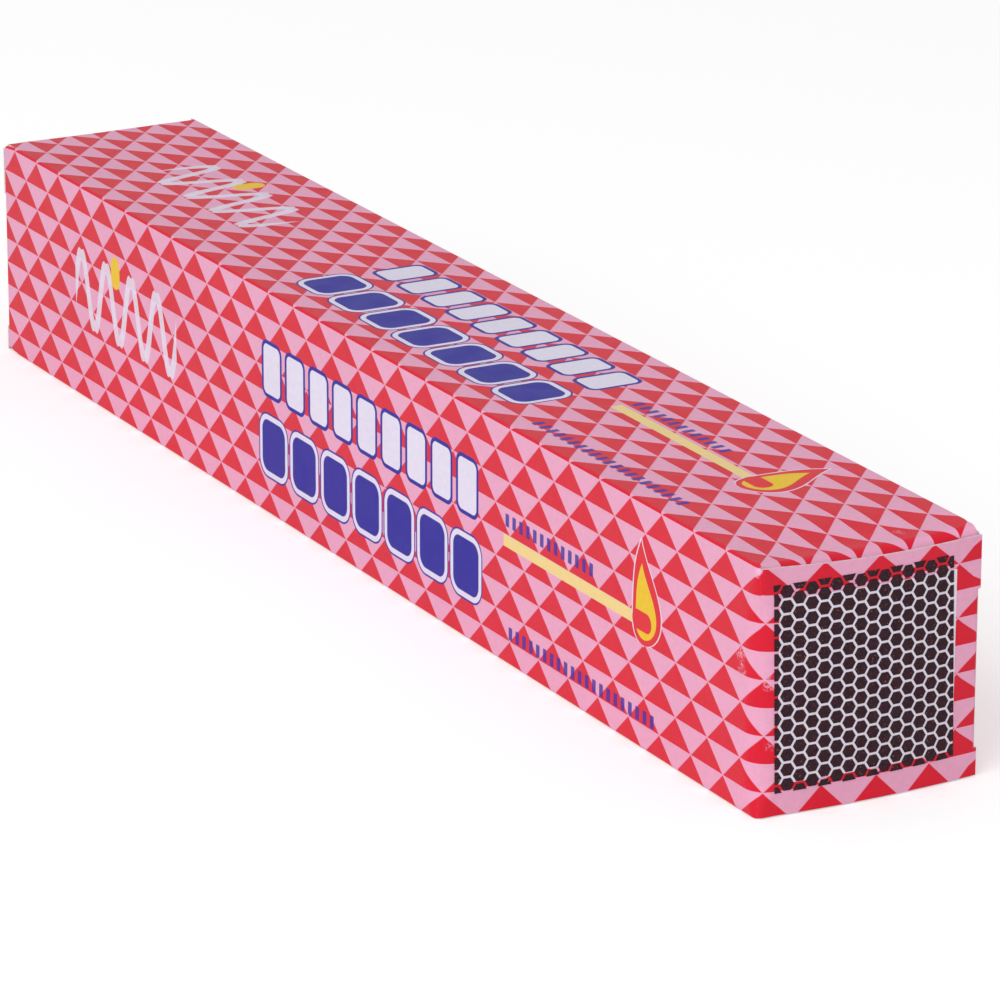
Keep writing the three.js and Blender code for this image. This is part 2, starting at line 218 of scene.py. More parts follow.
@dataclass(frozen=True)
class LidPlan:
    """Lines of the near lid as seen from above. The far lid is its half turn."""

    bulge: float = 0.9 * MM
    setback: float = 0.0
    tab_fold: float = 0.9 * MM
    tab_length: float = 11 * MM
    tight_fold: float = 1.3 * MM
    lower_fold: float = 1.5 * MM
    tight_above: float = 9 * MM
    tight_above_ease: float = 8.2 * MM
    tight_below: float = 6 * MM
    least_inner: float = 0.4 * MM
    shoulder_gap: float = 0.1 * MM

    @property
    def centre(self) -> Vector:
        """Axis of the soft fold that the lid hangs on."""
        return Vector((-SIZE.half_width + SIZE.lid_fold, -SIZE.half_length + SIZE.lid_fold))

    @property
    def tab_x(self) -> float:
        """Axis of the tab's fold, across the box."""
        return SIZE.half_width - SIZE.board - SIZE.fit - self.tab_fold

    @property
    def tilts(self) -> Pair:
        """Angles of the panel at its soft fold and at its tab."""
        span = self.tab_x - self.centre.x
        rises = (4 * self.bulge - self.setback, 4 * self.bulge + self.setback)
        return math.atan(rises[0] / span), math.atan(rises[1] / span)

    @property
    def start(self) -> Vector:
        """Where the soft fold goes over into the panel."""
        tilt = self.tilts[0]
        return self.centre - SIZE.lid_fold * Vector((math.sin(tilt), math.cos(tilt)))

    @property
    def end_x(self) -> float:
        """Where the panel goes over into the tab's fold, across the box."""
        return self.tab_x + self.tab_fold * math.sin(self.tilts[1])

    def panel(self, x: float) -> Pair:
        """Place along the box and slope of the bulging panel at a place across it.

        Args:
            x: Place across the box.

        Returns:
            The place along the box, and the slope.
        """
        hinged, tucked = self.tilts
        span = self.end_x - self.start.x
        share = (x - self.start.x) / span
        bend = math.tan(hinged) + math.tan(tucked)
        place = self.start.y + span * share * (bend * share / 2 - math.tan(hinged))
        return place, bend * share - math.tan(hinged)

    def skin(self, x: float) -> Tuple[Vector, Vector]:
        """Point of the lid's printed face at a place across the box, and the way that it faces.

        Args:
            x: Place across the box.

        Returns:
            The point, and the way that it faces.
        """
        if x < self.start.x:
            across = (x - self.centre.x) / SIZE.lid_fold
            facing = Vector((across, -math.sqrt(max(0.0, 1 - across * across))))
            return self.centre + SIZE.lid_fold * facing, facing
        place, slope = self.panel(x)
        return Vector((x, place)), Vector((slope, -1)).normalized()

    def fold_radius(self, z: float) -> float:
        """Radius of the soft fold, which is tight where the long folds hold it.

        Args:
            z: Height.

        Returns:
            The radius.
        """
        upper = smooth((z - (SIZE.height - self.tight_above)) / self.tight_above_ease)
        lower = smooth((self.tight_below - z) / self.tight_below)
        return (SIZE.lid_fold - upper * (SIZE.lid_fold - self.tight_fold)
                - lower * (SIZE.lid_fold - self.lower_fold))

    def tighten(self, point: Vector) -> Vector:
        """Moves a point of the near end's soft fold out to where the tighter fold lies.

        Args:
            point: Point of the sheet, at the near end.

        Returns:
            The moved point.
        """
        across, beyond = point.x - self.centre.x, point.y - self.centre.y
        if across >= 0 or beyond >= 0:
            return point
        reach = math.hypot(across, beyond)
        depth = SIZE.lid_fold - reach
        share = math.atan2(-beyond, -across) / (math.pi / 2)
        radius = max(self.fold_radius(point.z), depth + self.least_inner)
        straight = SIZE.lid_fold - radius
        travelled = share * (2 * straight + radius * math.pi / 2)
        corner = self.centre - Vector((straight, straight))
        inner = radius - depth
        if travelled < straight:
            place = Vector((corner.x - inner, self.centre.y - travelled))
        elif travelled > straight + radius * math.pi / 2:
            place = Vector((corner.x + travelled - straight - radius * math.pi / 2, corner.y - inner))
        else:
            angle = (travelled - straight) / radius
            place = corner - inner * Vector((math.cos(angle), math.sin(angle)))
        return Vector((place.x, place.y, point.z))

    @property
    def lean(self) -> float:
        """Angle by which the tab leans in, so that its tip swings clear of the side panel."""
        hinge = self.centre - Vector((1, 1)) * SIZE.lid_fold * math.sqrt(0.5)
        reach = SIZE.half_width - SIZE.board - SIZE.fit / 2 - hinge.x
        root = self.tab_centre + Vector((self.tab_fold, 0)) - hinge
        span = root.length
        return math.atan2(root.y, root.x) + math.asin(
            (span ** 2 + self.tab_length ** 2 - reach ** 2) / (2 * self.tab_length * span))

    @property
    def tab_centre(self) -> Vector:
        """Axis of the tab's fold."""
        place, _ = self.panel(self.end_x)
        return Vector((self.tab_x, place + self.tab_fold * math.cos(self.tilts[1])))

    @property
    def side_edge(self) -> float:
        """Where the other side panel's cut edge stands, along the box."""
        tilt = self.tilts[1]
        tip = self.panel(self.end_x)[0] + (SIZE.half_width - self.shoulder_gap - self.end_x) * math.tan(tilt)
        return tip + SIZE.board / math.cos(tilt) + SIZE.fit


PLAN = LidPlan()


# Work on meshes


def add_shape(name: str, operator: Callable, scale: Sequence[float], **values: object) -> Object:
    """Adds a primitive, scales it and puts its place and size into its mesh.

    Args:
        name: Name of the new object and its mesh.
        operator: Operator that adds the primitive.
        scale: Scale along each axis.
        values: Values of the operator.

    Returns:
        The new object.
    """
    bpy.ops.object.select_all(action="DESELECT")
    operator(**values)
    obj = bpy.context.active_object
    obj.name = obj.data.name = name
    obj.scale = scale
    bpy.ops.object.transform_apply(location=True, rotation=True, scale=True)
    return obj


def start_edit(obj: Object) -> None:
    """Makes one object active and opens it in edit mode with nothing of it selected.

    Args:
        obj: Object to work on.
    """
    if bpy.context.mode != "OBJECT":
        bpy.ops.object.mode_set(mode="OBJECT")
    bpy.ops.object.select_all(action="DESELECT")
    bpy.context.view_layer.objects.active = obj
    obj.select_set(True)
    bpy.ops.object.mode_set(mode="EDIT")
    bpy.ops.mesh.select_mode(type="VERT")
    bpy.ops.mesh.select_all(action="DESELECT")


def end_edit() -> None:
    """Goes back to object mode."""
    bpy.ops.object.mode_set(mode="OBJECT")


def pick_edges(obj: Object, wanted: Callable[[Vector, Vector], bool]) -> None:
    """Selects the edges whose two ends pass a test, and nothing else.

    Args:
        obj: Object to work on.
        wanted: Test of the two end points.
    """
    bpy.ops.mesh.select_mode(type="EDGE")
    bpy.ops.mesh.select_all(action="DESELECT")
    edit = bmesh.from_edit_mesh(obj.data)
    for edge in edit.edges:
        if wanted(edge.verts[0].co, edge.verts[1].co):
            edge.select_set(True)
    edit.select_flush_mode()
    bmesh.update_edit_mesh(obj.data)


def pick_faces(obj: Object, wanted: Callable[[Vector, Vector], bool]) -> None:
    """Selects the faces whose middle and normal pass a test, and nothing else.

    Args:
        obj: Object to work on.
        wanted: Test of the middle and the normal.
    """
    bpy.ops.mesh.select_mode(type="FACE")
    bpy.ops.mesh.select_all(action="DESELECT")
    edit = bmesh.from_edit_mesh(obj.data)
    edit.normal_update()
    for face in edit.faces:
        if wanted(face.calc_center_median(), face.normal):
            face.select_set(True)
    bmesh.update_edit_mesh(obj.data)


def extrude(step: Vector, scale: Optional[Sequence[float]] = None, about: Vector = Vector()) -> None:
    """Extrudes the selected edges by a step, then scales them about a point.

    Args:
        step: Way to extrude.
        scale: Scale along each axis.
        about: Point to scale about.
    """
    bpy.ops.mesh.extrude_region_move(TRANSFORM_OT_translate={"value": tuple(step)})
    if scale:
        bpy.ops.transform.resize(value=tuple(scale), center_override=tuple(about))


def round_off(
        way: Vector, half: float, corner: float, steps: int, axis: int, about: Vector = Vector()) -> None:
    """Carries the selected edges on while a quarter round narrows them at both ends.

    Args:
        way: Direction in which the card goes on.
        half: Half of the width before the corners.
        corner: Radius of the corners.
        steps: Steps of the quarter round.
        axis: Number of the axis along the width.
        about: Middle of the width.
    """
    last_reach, last_half = 0.0, half
    for step in range(1, steps + 1):
        angle = math.pi / 2 * step / steps
        reach, narrowed = corner * math.sin(angle), half - corner * (1 - math.cos(angle))
        scale = [1.0, 1.0, 1.0]
        scale[axis] = narrowed / last_half
        extrude(way * (reach - last_reach), scale, about)
        last_reach, last_half = reach, narrowed


def spin(angle: float, centre: Vector, axis: Vector, steps: int) -> None:
    """Sweeps the selected edges counter-clockwise round an axis, as card goes round a fold."""
    bpy.ops.mesh.spin(steps=steps, angle=-angle, center=tuple(centre), axis=tuple(axis))


def cut(point: Vector, normal: Vector) -> None:
    """Cuts every face that a plane crosses and keeps both sides."""
    bpy.ops.mesh.select_all(action="SELECT")
    bpy.ops.mesh.bisect(plane_co=tuple(point), plane_no=tuple(normal))


def apply_modifier(obj: Object, kind: str, **values: object) -> None:
    """Adds a modifier, gives it its values and applies it.

    Args:
        obj: Object to work on.
        kind: Type of the modifier.
        values: Values of the modifier.
    """
    bpy.context.view_layer.objects.active = obj
    modifier = obj.modifiers.new(kind.title(), kind)
    for name, value in values.items():
        setattr(modifier, name, value)
    bpy.ops.object.modifier_apply(modifier=modifier.name)


def even_normals() -> None:
    """Makes the normals of the mesh in edit mode consistent."""
    bpy.ops.mesh.select_all(action="SELECT")
    bpy.ops.mesh.normals_make_consistent(inside=False)


def shade(obj: Object, angle: float = 35) -> None:
    """Smooths an object's shading by angle.

    Args:
        obj: Object to work on.
        angle: Angle in degrees.
    """
    bpy.ops.object.select_all(action="DESELECT")
    bpy.context.view_layer.objects.active = obj
    obj.select_set(True)
    bpy.ops.object.shade_smooth_by_angle(angle=math.radians(angle))


# Material graphs


class Graph:
    """A material's or group's nodes, with short calls for the arithmetic between them."""

    def __init__(self, tree: bpy.types.NodeTree) -> None:
        """Takes the node tree to build in."""
        self.tree = tree

    def add(self, kind: str, **values: object) -> bpy.types.Node:
        """Adds a node and sets its own properties.

        Args:
            kind: Type of the node.
            values: Properties of the node.

        Returns:
            The new node.
        """
        node = self.tree.nodes.new(kind)
        for name, value in values.items():
            setattr(node, name, value)
        return node

    def feed(self, socket: Output, value: Union[Socket, Sequence[float]]) -> None:
        """Links a socket to another one, or sets its value.

        Args:
            socket: Socket to feed.
            value: Socket to link or value to set.
        """
        if isinstance(value, Output):
            self.tree.links.new(value, socket)
        else:
            socket.default_value = value

    def math(self, operation: str, *values: Socket) -> Output:
        """Result of one Math node.

        Args:
            operation: Operation of the node.
            values: Values of its inputs.

        Returns:
            The result.
        """
        node = self.add("ShaderNodeMath", operation=operation)
        for socket, value in zip(node.inputs, values):
            self.feed(socket, value)
        return node.outputs[0]

    def ramp(self, value: Socket, low: float, high: float, start: float = 0.0, end: float = 1.0) -> Output:
        """Value carried from one range to another and held inside it.

        Args:
            value: Value to start from.
            low: Lower end of the range.
            high: Upper end of the range.
            start: Result at the lower end.
            end: Result at the upper end.

        Returns:
            The result.
        """
        node = self.add("ShaderNodeMapRange", clamp=True)
        for socket, part in zip(node.inputs, (value, low, high, start, end)):
            self.feed(socket, part)
        return node.outputs[0]

    def mix(self, share: Socket, first: Union[Socket, Colour], second: Union[Socket, Colour]) -> Output:
        """Colour between two colours.

        Args:
            share: Share of the second colour.
            first: First colour.
            second: Second colour.

        Returns:
            The colour.
        """
        node = self.add("ShaderNodeMix", data_type="RGBA")
        self.feed(node.inputs[0], share)
        for socket, value in ((node.inputs[6], first), (node.inputs[7], second)):
            self.feed(socket, value if isinstance(value, Output) else (*value, 1.0))
        return node.outputs[2]

    def noise(self, vector: Output, scale: float, detail: float = 2.0, rough: float = 0.5) -> Output:
        """Grey value of a Noise Texture.

        Args:
            vector: Place of each point.
            scale: Scale of the noise.
            detail: Detail of the noise.
            rough: Roughness of the noise.

        Returns:
            The grey value.
        """
        node = self.add("ShaderNodeTexNoise")
        for name, value in (("Vector", vector), ("Scale", scale), ("Detail", detail), ("Roughness", rough)):
            self.feed(node.inputs[name], value)
        return node.outputs["Fac"]

    def group(self, tree: bpy.types.NodeTree, **values: Union[Socket, Sequence[float]]) -> bpy.types.Node:
        """Places a node group and feeds its inputs by name.

        Args:
            tree: Group to place.
            values: Values of its inputs.

        Returns:
            The new node.
        """
        node = self.add("ShaderNodeGroup", node_tree=tree)
        for name, value in values.items():
            self.feed(node.inputs[name], value)
        return node

    def emboss(self, shader: bpy.types.Node, height: Output, strength: float, depth: float) -> None:
        """Gives a shader a fine relief.

        Args:
            shader: Shader to feed.
            height: Height of the relief.
            strength: Strength of the relief.
            depth: Depth of the relief.
        """
        bump = self.add("ShaderNodeBump")
        for name, value in (("Strength", strength), ("Distance", depth), ("Height", height)):
            self.feed(bump.inputs[name], value)
        self.feed(shader.inputs["Normal"], bump.outputs["Normal"])


def new_group(
        name: str, inputs: Dict[str, str],
        outputs: Dict[str, str]) -> Tuple[Graph, list[Output], list[Output]]:
    """Starts a shader node group.

    Args:
        name: Name of the group.
        inputs: Name and socket type of each input.
        outputs: Name and socket type of each output.

    Returns:
        The group's graph, the values of its inputs and the sockets to feed with its results.
    """
    tree = bpy.data.node_groups.new(name, "ShaderNodeTree")
    for sockets, side in ((inputs, "INPUT"), (outputs, "OUTPUT")):
        for label, kind in sockets.items():
            tree.interface.new_socket(name=label, in_out=side, socket_type=kind)
    graph = Graph(tree)
    given, results = graph.add("NodeGroupInput"), graph.add("NodeGroupOutput")
    return graph, [given.outputs[label] for label in inputs], [results.inputs[label] for label in outputs]


def new_material(name: str) -> Tuple[bpy.types.Material, Graph, bpy.types.Node]:
    """Starts a material, and gives it with its graph and its shader.

    Args:
        name: Name of the material.

    Returns:
        The material, its graph and its shader.
    """
    material = bpy.data.materials.new(name)
    material.use_nodes = True
    return material, Graph(material.node_tree), material.node_tree.nodes["Principled BSDF"]


@dataclass(frozen=True)
class TriangleCheck:
    """The red and pink triangle check, printed in rows along the box.

    Whole rows and columns are added to the counts, so that none is negative.
    """

    pitch: float = 10.14 * MM
    row: float = 4.72 * MM
    first_node: float = 0.15 * MM
    first_row: float = 0.25 * MM
    added: float = 100.0
    soft_side: float = 0.02
    soft_base: float = 0.012

    def build(self) -> bpy.types.NodeTree:
        """Builds the group that says where the print is red.

        Returns:
            A group with inputs Along and Around, in metres, and the output Red, from 0 to 1.
        """
        graph, (along, around), (result,) = new_group(
            "triangle_check", {"Along": NUMBER, "Around": NUMBER}, {"Red": NUMBER})
        do = graph.math
        rows = do("ADD", do("DIVIDE", do("SUBTRACT", around, self.first_row), self.row), self.added)
        down = do("FRACT", rows)
        steps = do("DIVIDE", do("SUBTRACT", along, self.first_node), self.pitch)
        shifted = do("ADD", steps, do("MULTIPLY", do("FLOOR", rows), 0.5))
        within = do("FRACT", do("ADD", shifted, 2 * self.added + 0.5))
        beside = do("ABSOLUTE", do("SUBTRACT", within, 0.5))
        inside = do("SUBTRACT", do("MULTIPLY", down, 0.5), beside)
        red = graph.ramp(inside, 0.0, self.soft_side)
        graph.feed(result, do("MULTIPLY", red, graph.ramp(down, 0.0, self.soft_base)))
        return graph.tree


@dataclass(frozen=True)
class Pen:
    """Draws plain figures on a long panel, each as the distance to its outline, negative inside.

    Places and sizes are in millimetres, from the near end and down from the panel's upper fold.
    """

    graph: Graph
    along: Socket
    down: Socket
    soft: float = 0.06
    flame_base: float = 0.5
    flame_tip: float = 1.15
    flame_turn: float = 5.0
    flame_lean: float = -0.08

    def apart(self, value: Socket, other: Socket) -> Output:
        """How far two values are apart."""
        return self.graph.math("ABSOLUTE", self.graph.math("SUBTRACT", value, other))

    def box(self, middle: Pair, half: Pair, corner: float, along: Optional[Socket] = None) -> Output:
        """A rounded box.

        Args:
            middle: Middle of the figure.
            half: Half of the width and height.
            corner: Radius of the corners.
            along: Place along, if not the pen's own.

        Returns:
            The distance to its outline.
        """
        do = self.graph.math
        place = self.along if along is None else along
        a = do("MAXIMUM", do("SUBTRACT", self.apart(place, middle[0]), half[0] - corner), 0.0)
        b = do("MAXIMUM", do("SUBTRACT", self.apart(self.down, middle[1]), half[1] - corner), 0.0)
        return do("SUBTRACT", do("SQRT", do("ADD", do("MULTIPLY", a, a), do("MULTIPLY", b, b))), corner)

    def blocks(
            self, start: float, pitch: float, count: int, line: float, half: Pair, corner: float) -> Output:
        """A row of equal rounded boxes.

        Args:
            start: Middle of the first box.
            pitch: Distance between two boxes.
            count: Number of boxes.
            line: Height of the row's middle.
            half: Half of the width and height.
            corner: Radius of the corners.

        Returns:
            The distance to the nearest outline.
        """
        do = self.graph.math
        steps = do("DIVIDE", do("SUBTRACT", self.along, start), pitch)
        nearest = do("MAXIMUM", do("MINIMUM", do("ROUND", steps), count - 1.0), 0.0)
        local = do("MULTIPLY", do("SUBTRACT", steps, nearest), pitch)
        return self.box((0.0, line), half, corner, local)

    def wave(self, middle: Pair, reach: Pair, period: float, half: float) -> Output:
        """An even ribbon that waves along the panel.

        Args:
            middle: Middle of the figure.
            reach: Half length and swing.
            period: Length of one wave.
            half: Half of the ribbon's width.

        Returns:
            The distance to its outline.
        """
        do = self.graph.math
        turn = do("MULTIPLY", do("SUBTRACT", self.along, middle[0]), 2 * math.pi / period)
        line = do("ADD", do("MULTIPLY", do("SINE", turn), reach[1]), middle[1])
        steep = do("MULTIPLY", do("COSINE", turn), reach[1] * 2 * math.pi / period)
        stretch = do("SQRT", do("MULTIPLY_ADD", steep, steep, 1.0))
        off_line = do("DIVIDE", self.apart(self.down, line), stretch)
        beyond = do("SUBTRACT", self.apart(self.along, middle[0]), reach[0])
        return do("MAXIMUM", do("SUBTRACT", off_line, half), beyond)

    def flame(self, middle: float, base: float, tall: float, wide: float) -> Output:
        """An upright drop that leans a little, by the distance across to its outline.

        Args:
            middle: Place along the panel.
            base: Height of its foot.
            tall: Its height.
            wide: Its width.

        Returns:
            The distance to its outline.
        """
        do = self.graph.math
        height = do("DIVIDE", do("SUBTRACT", base, self.down), tall)
        held = do("MINIMUM", do("MAXIMUM", height, 0.0), 1.0)
        taper = do("POWER", do("SUBTRACT", 1.0, held), self.flame_tip)
        half = do("MULTIPLY", do("MULTIPLY", do("POWER", held, self.flame_base), taper), wide)
        lean = do("MULTIPLY", do("SINE", do("MULTIPLY", held, self.flame_turn)), self.flame_lean * wide)
        across = self.apart(do("SUBTRACT", self.along, middle), lean)
        outside = self.apart(height, held)
        return do("ADD", do("SUBTRACT", across, half), do("MULTIPLY", outside, tall))

    def fill(self, outline: Socket, edge: float) -> Output:
        """1 inside an outline that stands a distance out from the figure's own, 0 outside."""
        return self.graph.ramp(outline, edge - self.soft, edge + self.soft, 1.0, 0.0)


@dataclass(frozen=True)
class Artwork:
    """Plain printed ornaments on the long panels: fields and simple figures, with no lettering."""

    panel: float = 41.8 * MM
    added: float = 10.0
    navy: Colour = srgb(28, 18, 162)
    pale: Colour = srgb(242, 236, 255)
    yellow: Colour = srgb(252, 208, 30)
    stick: Colour = srgb(255, 226, 150)
    red: Colour = srgb(238, 34, 48)

    def figures(self, pen: Pen) -> Iterable[Tuple[Output, float, float, Colour]]:
        """The figures in the order of printing: outline, edge beyond it, cover and ink.

        Args:
            pen: Pen to draw with.

        Returns:
            The figures, each with its edge, cover and ink.
        """
        upper = pen.blocks(start=96.5, pitch=9.35, count=9, line=14.6, half=(3.3, 4.7), corner=1.3)
        lower = pen.blocks(start=97, pitch=12.3, count=7, line=29.2, half=(4.6, 4.9), corner=2.2)
        outer = pen.flame(middle=36, base=24.3, tall=18, wide=12.6)
        core = pen.flame(middle=36, base=23.3, tall=13, wide=9.2)
        bars = [
            pen.blocks(start=start, pitch=2.4, count=count, line=line, half=(0.62, 1.15), corner=0.2)
            for start, count, line in ((53.4, 13, 16.6), (33, 21, 36.6))]
        return (
            (pen.wave(middle=(234, 20), reach=(22.5, 6.4), period=11.2, half=1.05), 0.0, 0.85, self.pale),
            (pen.box(middle=(238.2, 13.4), half=(1.9, 3.2), corner=1.9), 0.0, 1.0, self.yellow),
            (upper, 0.75, 1.0, self.navy), (upper, 0.0, 1.0, self.pale),
            (lower, 1.35, 1.0, self.navy), (lower, 1.0, 1.0, self.pale), (lower, 0.0, 1.0, self.navy),
            (bars[0], 0.0, 0.9, self.navy), (bars[1], 0.0, 0.9, self.navy),
            (pen.box(middle=(61.5, 20.3), half=(22, 1.1), corner=0.1), 0.0, 1.0, self.stick),
            (outer, 0.3, 1.0, self.pale), (outer, 0.0, 1.0, self.red), (core, 0.0, 1.0, self.yellow),
            (pen.box(middle=(36.6, 20.3), half=(3.1, 1.7), corner=1.6), 0.0, 1.0, self.red))

    def build(self) -> bpy.types.NodeTree:
        """Builds the group that lays the ornaments over the check.

        Returns:
            A group with inputs Along, Around and Ground, and the output Color.
        """
        graph, (along, around, ground), (result,) = new_group(
            "panel_artwork", {"Along": NUMBER, "Around": NUMBER, "Ground": COLOUR}, {"Color": COLOUR})
        do = graph.math
        panels = do("FRACT", do("ADD", do("DIVIDE", around, self.panel), self.added))
        pen = Pen(graph, do("DIVIDE", along, MM), do("MULTIPLY", panels, self.panel / MM))
        colour = ground
        for outline, edge, cover, ink in self.figures(pen):
            colour = graph.mix(do("MULTIPLY", pen.fill(outline, edge), cover), colour, ink)
        graph.feed(result, graph.mix(do("LESS_THAN", around, self.panel), ground, colour))
        return graph.tree


@dataclass(frozen=True)
class PrintedCard:
    """Varnished printed board, with small scuffs where the near fold rubs.

    Each rub has its place along and around the sheet in millimetres, its radius and its strength.
    Each grain has its scale, detail and roughness.
    """

    check: bpy.types.NodeTree
    artwork: bpy.types.NodeTree
    red: Colour = srgb(233, 20, 50)
    pink: Colour = srgb(248, 176, 208)
    worn: Colour = srgb(250, 196, 226)
    pale: Colour = srgb(246, 238, 252)
    rubs: Tuple[Tuple[float, float, float, float], ...] = (
        (1.2, 1.0, 0.8, 0.95), (5.4, 15.6, 1.7, 0.6), (4.9, 18.2, 1.3, 0.55), (4.4, 22.0, 1.2, 0.4),
        (-0.5, 19.6, 1.5, 0.55), (0.2, 26.4, 1.2, 0.35), (-0.8, 30.2, 1.1, 0.35), (6.3, -29.5, 1.1, 0.45))
    whole_from: float = 0.9
    underlay_along: Pair = (-34.9 * MM, -2.08 * MM)
    underlay_down: Pair = (5.8 * MM, 36.9 * MM)
    underlay_soft: float = 0.03 * MM
    grain_range: Pair = (0.3, 0.7)
    mottle: Sequence[float] = (900.0, 3.0, 0.6)
    mottle_tone: float = 0.035
    drift: Sequence[float] = (45.0,)
    drift_tone: float = 0.02
    sheen: Sequence[float] = (160.0, 3.0)
    gloss: Pair = (0.3, 0.4)
    worn_gloss: float = 0.3
    specular: float = 0.3
    fibres: Sequence[float] = (700.0, 4.0, 0.6)
    relief: float = 0.12
    relief_depth: float = 0.05 * MM
    tear: Sequence[float] = (700.0, 4.0, 0.7)
    torn: float = 3.4 * MM
    dust: Sequence[float] = (2300.0,)
    dust_range: Pair = (0.46, 0.56)
    rub_core: float = 0.4
    name: str = "printed_card"

    def build(self) -> bpy.types.Material:
        """Builds the material on the sheet's own coordinates.

        Returns:
            The material.
        """
        material, graph, shader = new_material(self.name)
        do = graph.math
        sheet = graph.add("ShaderNodeUVMap", uv_map="sheet").outputs["UV"]
        parts = graph.add("ShaderNodeSeparateXYZ")
        graph.feed(parts.inputs[0], sheet)
        along, around = parts.outputs["X"], parts.outputs["Y"]
        red = graph.group(self.check, Along=along, Around=around).outputs["Red"]
        ground = graph.mix(red, self.pink, self.red)
        printed = graph.group(self.artwork, Along=along, Around=around, Ground=ground).outputs["Color"]
        printed = graph.mix(self.underlay(graph, along, around), printed, self.pale)
        mottle, drift = (
            graph.ramp(graph.noise(sheet, *grain), *self.grain_range, -most, most)
            for grain, most in ((self.mottle, self.mottle_tone), (self.drift, self.drift_tone)))
        tone = graph.add("ShaderNodeHueSaturation")
        graph.feed(tone.inputs["Value"], do("ADD", 1.0, do("ADD", mottle, drift)))
        graph.feed(tone.inputs["Color"], printed)
        scuff = self.scuffs(graph, sheet, (along, around))
        graph.feed(shader.inputs["Base Color"], graph.mix(scuff, tone.outputs["Color"], self.worn))
        gloss = graph.ramp(graph.noise(sheet, *self.sheen), *self.grain_range, *self.gloss)
        graph.feed(shader.inputs["Roughness"], do("ADD", gloss, do("MULTIPLY", scuff, self.worn_gloss)))
        graph.feed(shader.inputs["Specular IOR Level"], self.specular)
        graph.emboss(shader, graph.noise(sheet, *self.fibres), self.relief, self.relief_depth)
        return material

    def underlay(self, graph: Graph, along: Socket, around: Socket) -> Output:
        """Mask of the pale field that is printed under the striking surface.

        Args:
            graph: Graph to build in.
            along: Place along the sheet.
            around: Place round the sheet.

        Returns:
            The mask.
        """
        inside, soft = 1.0, self.underlay_soft
        for value, (low, high) in ((along, self.underlay_along), (around, self.underlay_down)):
            after = graph.ramp(value, low - soft, low + soft)
            before = graph.ramp(value, high - soft, high + soft, 1.0, 0.0)
            inside = graph.math("MULTIPLY", inside, graph.math("MULTIPLY", after, before))
        return inside

    def scuffs(self, graph: Graph, sheet: Output, place: Tuple[Output, Output]) -> Output:
        """Mask of the rubbed spots along the near fold and the chip at its upper corner.

        Args:
            graph: Graph to build in.
            sheet: Coordinates on the sheet.
            place: Place along and round the sheet.

        Returns:
            The mask.
        """
        do = graph.math
        torn = do("MULTIPLY", do("SUBTRACT", graph.noise(sheet, *self.tear), 0.5), self.torn)
        fine = graph.ramp(graph.noise(sheet, *self.dust), *self.dust_range)
        mask: Socket = 0.0
        for along, around, radius, share in self.rubs:
            off = [do("SUBTRACT", value, middle * MM) for value, middle in zip(place, (along, around))]
            square = do("MULTIPLY_ADD", off[0], off[0], do("MULTIPLY", off[1], off[1]))
            away = do("ADD", do("SQRT", square), torn)
            core = self.rub_core * radius * MM
            spot = do("MULTIPLY", graph.ramp(away, core, radius * MM, 1.0, 0.0), share)
            mask = do("MAXIMUM", mask, do("MULTIPLY", spot, fine) if share < self.whole_from else spot)
        return mask


def grain_group() -> bpy.types.NodeTree:
    """Builds the grain that the raw card, the wood, the coat and the match heads share.

    Returns:
        A group that lays a grain over a tone, with the outputs Color and Height.
    """
    graph, (place, scale, detail, rough, low, high, tone, streak), (colour, height) = new_group(
        "grain",
        {"Vector": VECTOR, "Scale": NUMBER, "Detail": NUMBER, "Roughness": NUMBER, "Low": NUMBER,
         "High": NUMBER, "Tone": COLOUR, "Grain": COLOUR},
        {"Color": COLOUR, "Height": NUMBER})
    grain = graph.noise(place, scale, detail, rough)
    graph.feed(colour, graph.mix(graph.ramp(grain, low, high), tone, streak))
    graph.feed(height, grain)
    return graph.tree


@dataclass(frozen=True)
class Grained:
    """A matt finish of two tones in a fine grain, as raw card, wood and a friction coat have."""

    name: str
    tone: Colour
    grain: Colour
    scale: float
    detail: float
    rough: float
    share: Pair
    roughness: float
    relief: float
    depth: float = 0.05 * MM
    stretch: float = 1.0
    specular: float = 0.5
    grit: Optional[Colour] = None
    grit_scale: float = 3400.0
    grit_share: Pair = (0.7, 0.78)

    def build(self, grain: bpy.types.NodeTree) -> bpy.types.Material:
        """Builds the material, with its grain drawn out along the box where it is stretched.

        Args:
            grain: Group that holds the grain.

        Returns:
            The material.
        """
        material, graph, shader = new_material(self.name)
        mapping = graph.add("ShaderNodeMapping")
        graph.feed(mapping.inputs["Vector"], graph.add("ShaderNodeTexCoord").outputs["Object"])
        graph.feed(mapping.inputs["Scale"], (1.0, self.stretch, 1.0))
        place = mapping.outputs[0]
        grained = graph.group(
            grain, Vector=place, Scale=self.scale, Detail=self.detail, Roughness=self.rough,
            Low=self.share[0], High=self.share[1], Tone=(*self.tone, 1.0), Grain=(*self.grain, 1.0))
        colour = grained.outputs["Color"]
        if self.grit:
            specks = graph.ramp(graph.noise(place, self.grit_scale, 1.0), *self.grit_share)
            colour = graph.mix(specks, colour, self.grit)
        graph.feed(shader.inputs["Base Color"], colour)
        graph.feed(shader.inputs["Roughness"], self.roughness)
        graph.feed(shader.inputs["Specular IOR Level"], self.specular)
        graph.emboss(shader, grained.outputs["Height"], self.relief, self.depth)
        return material


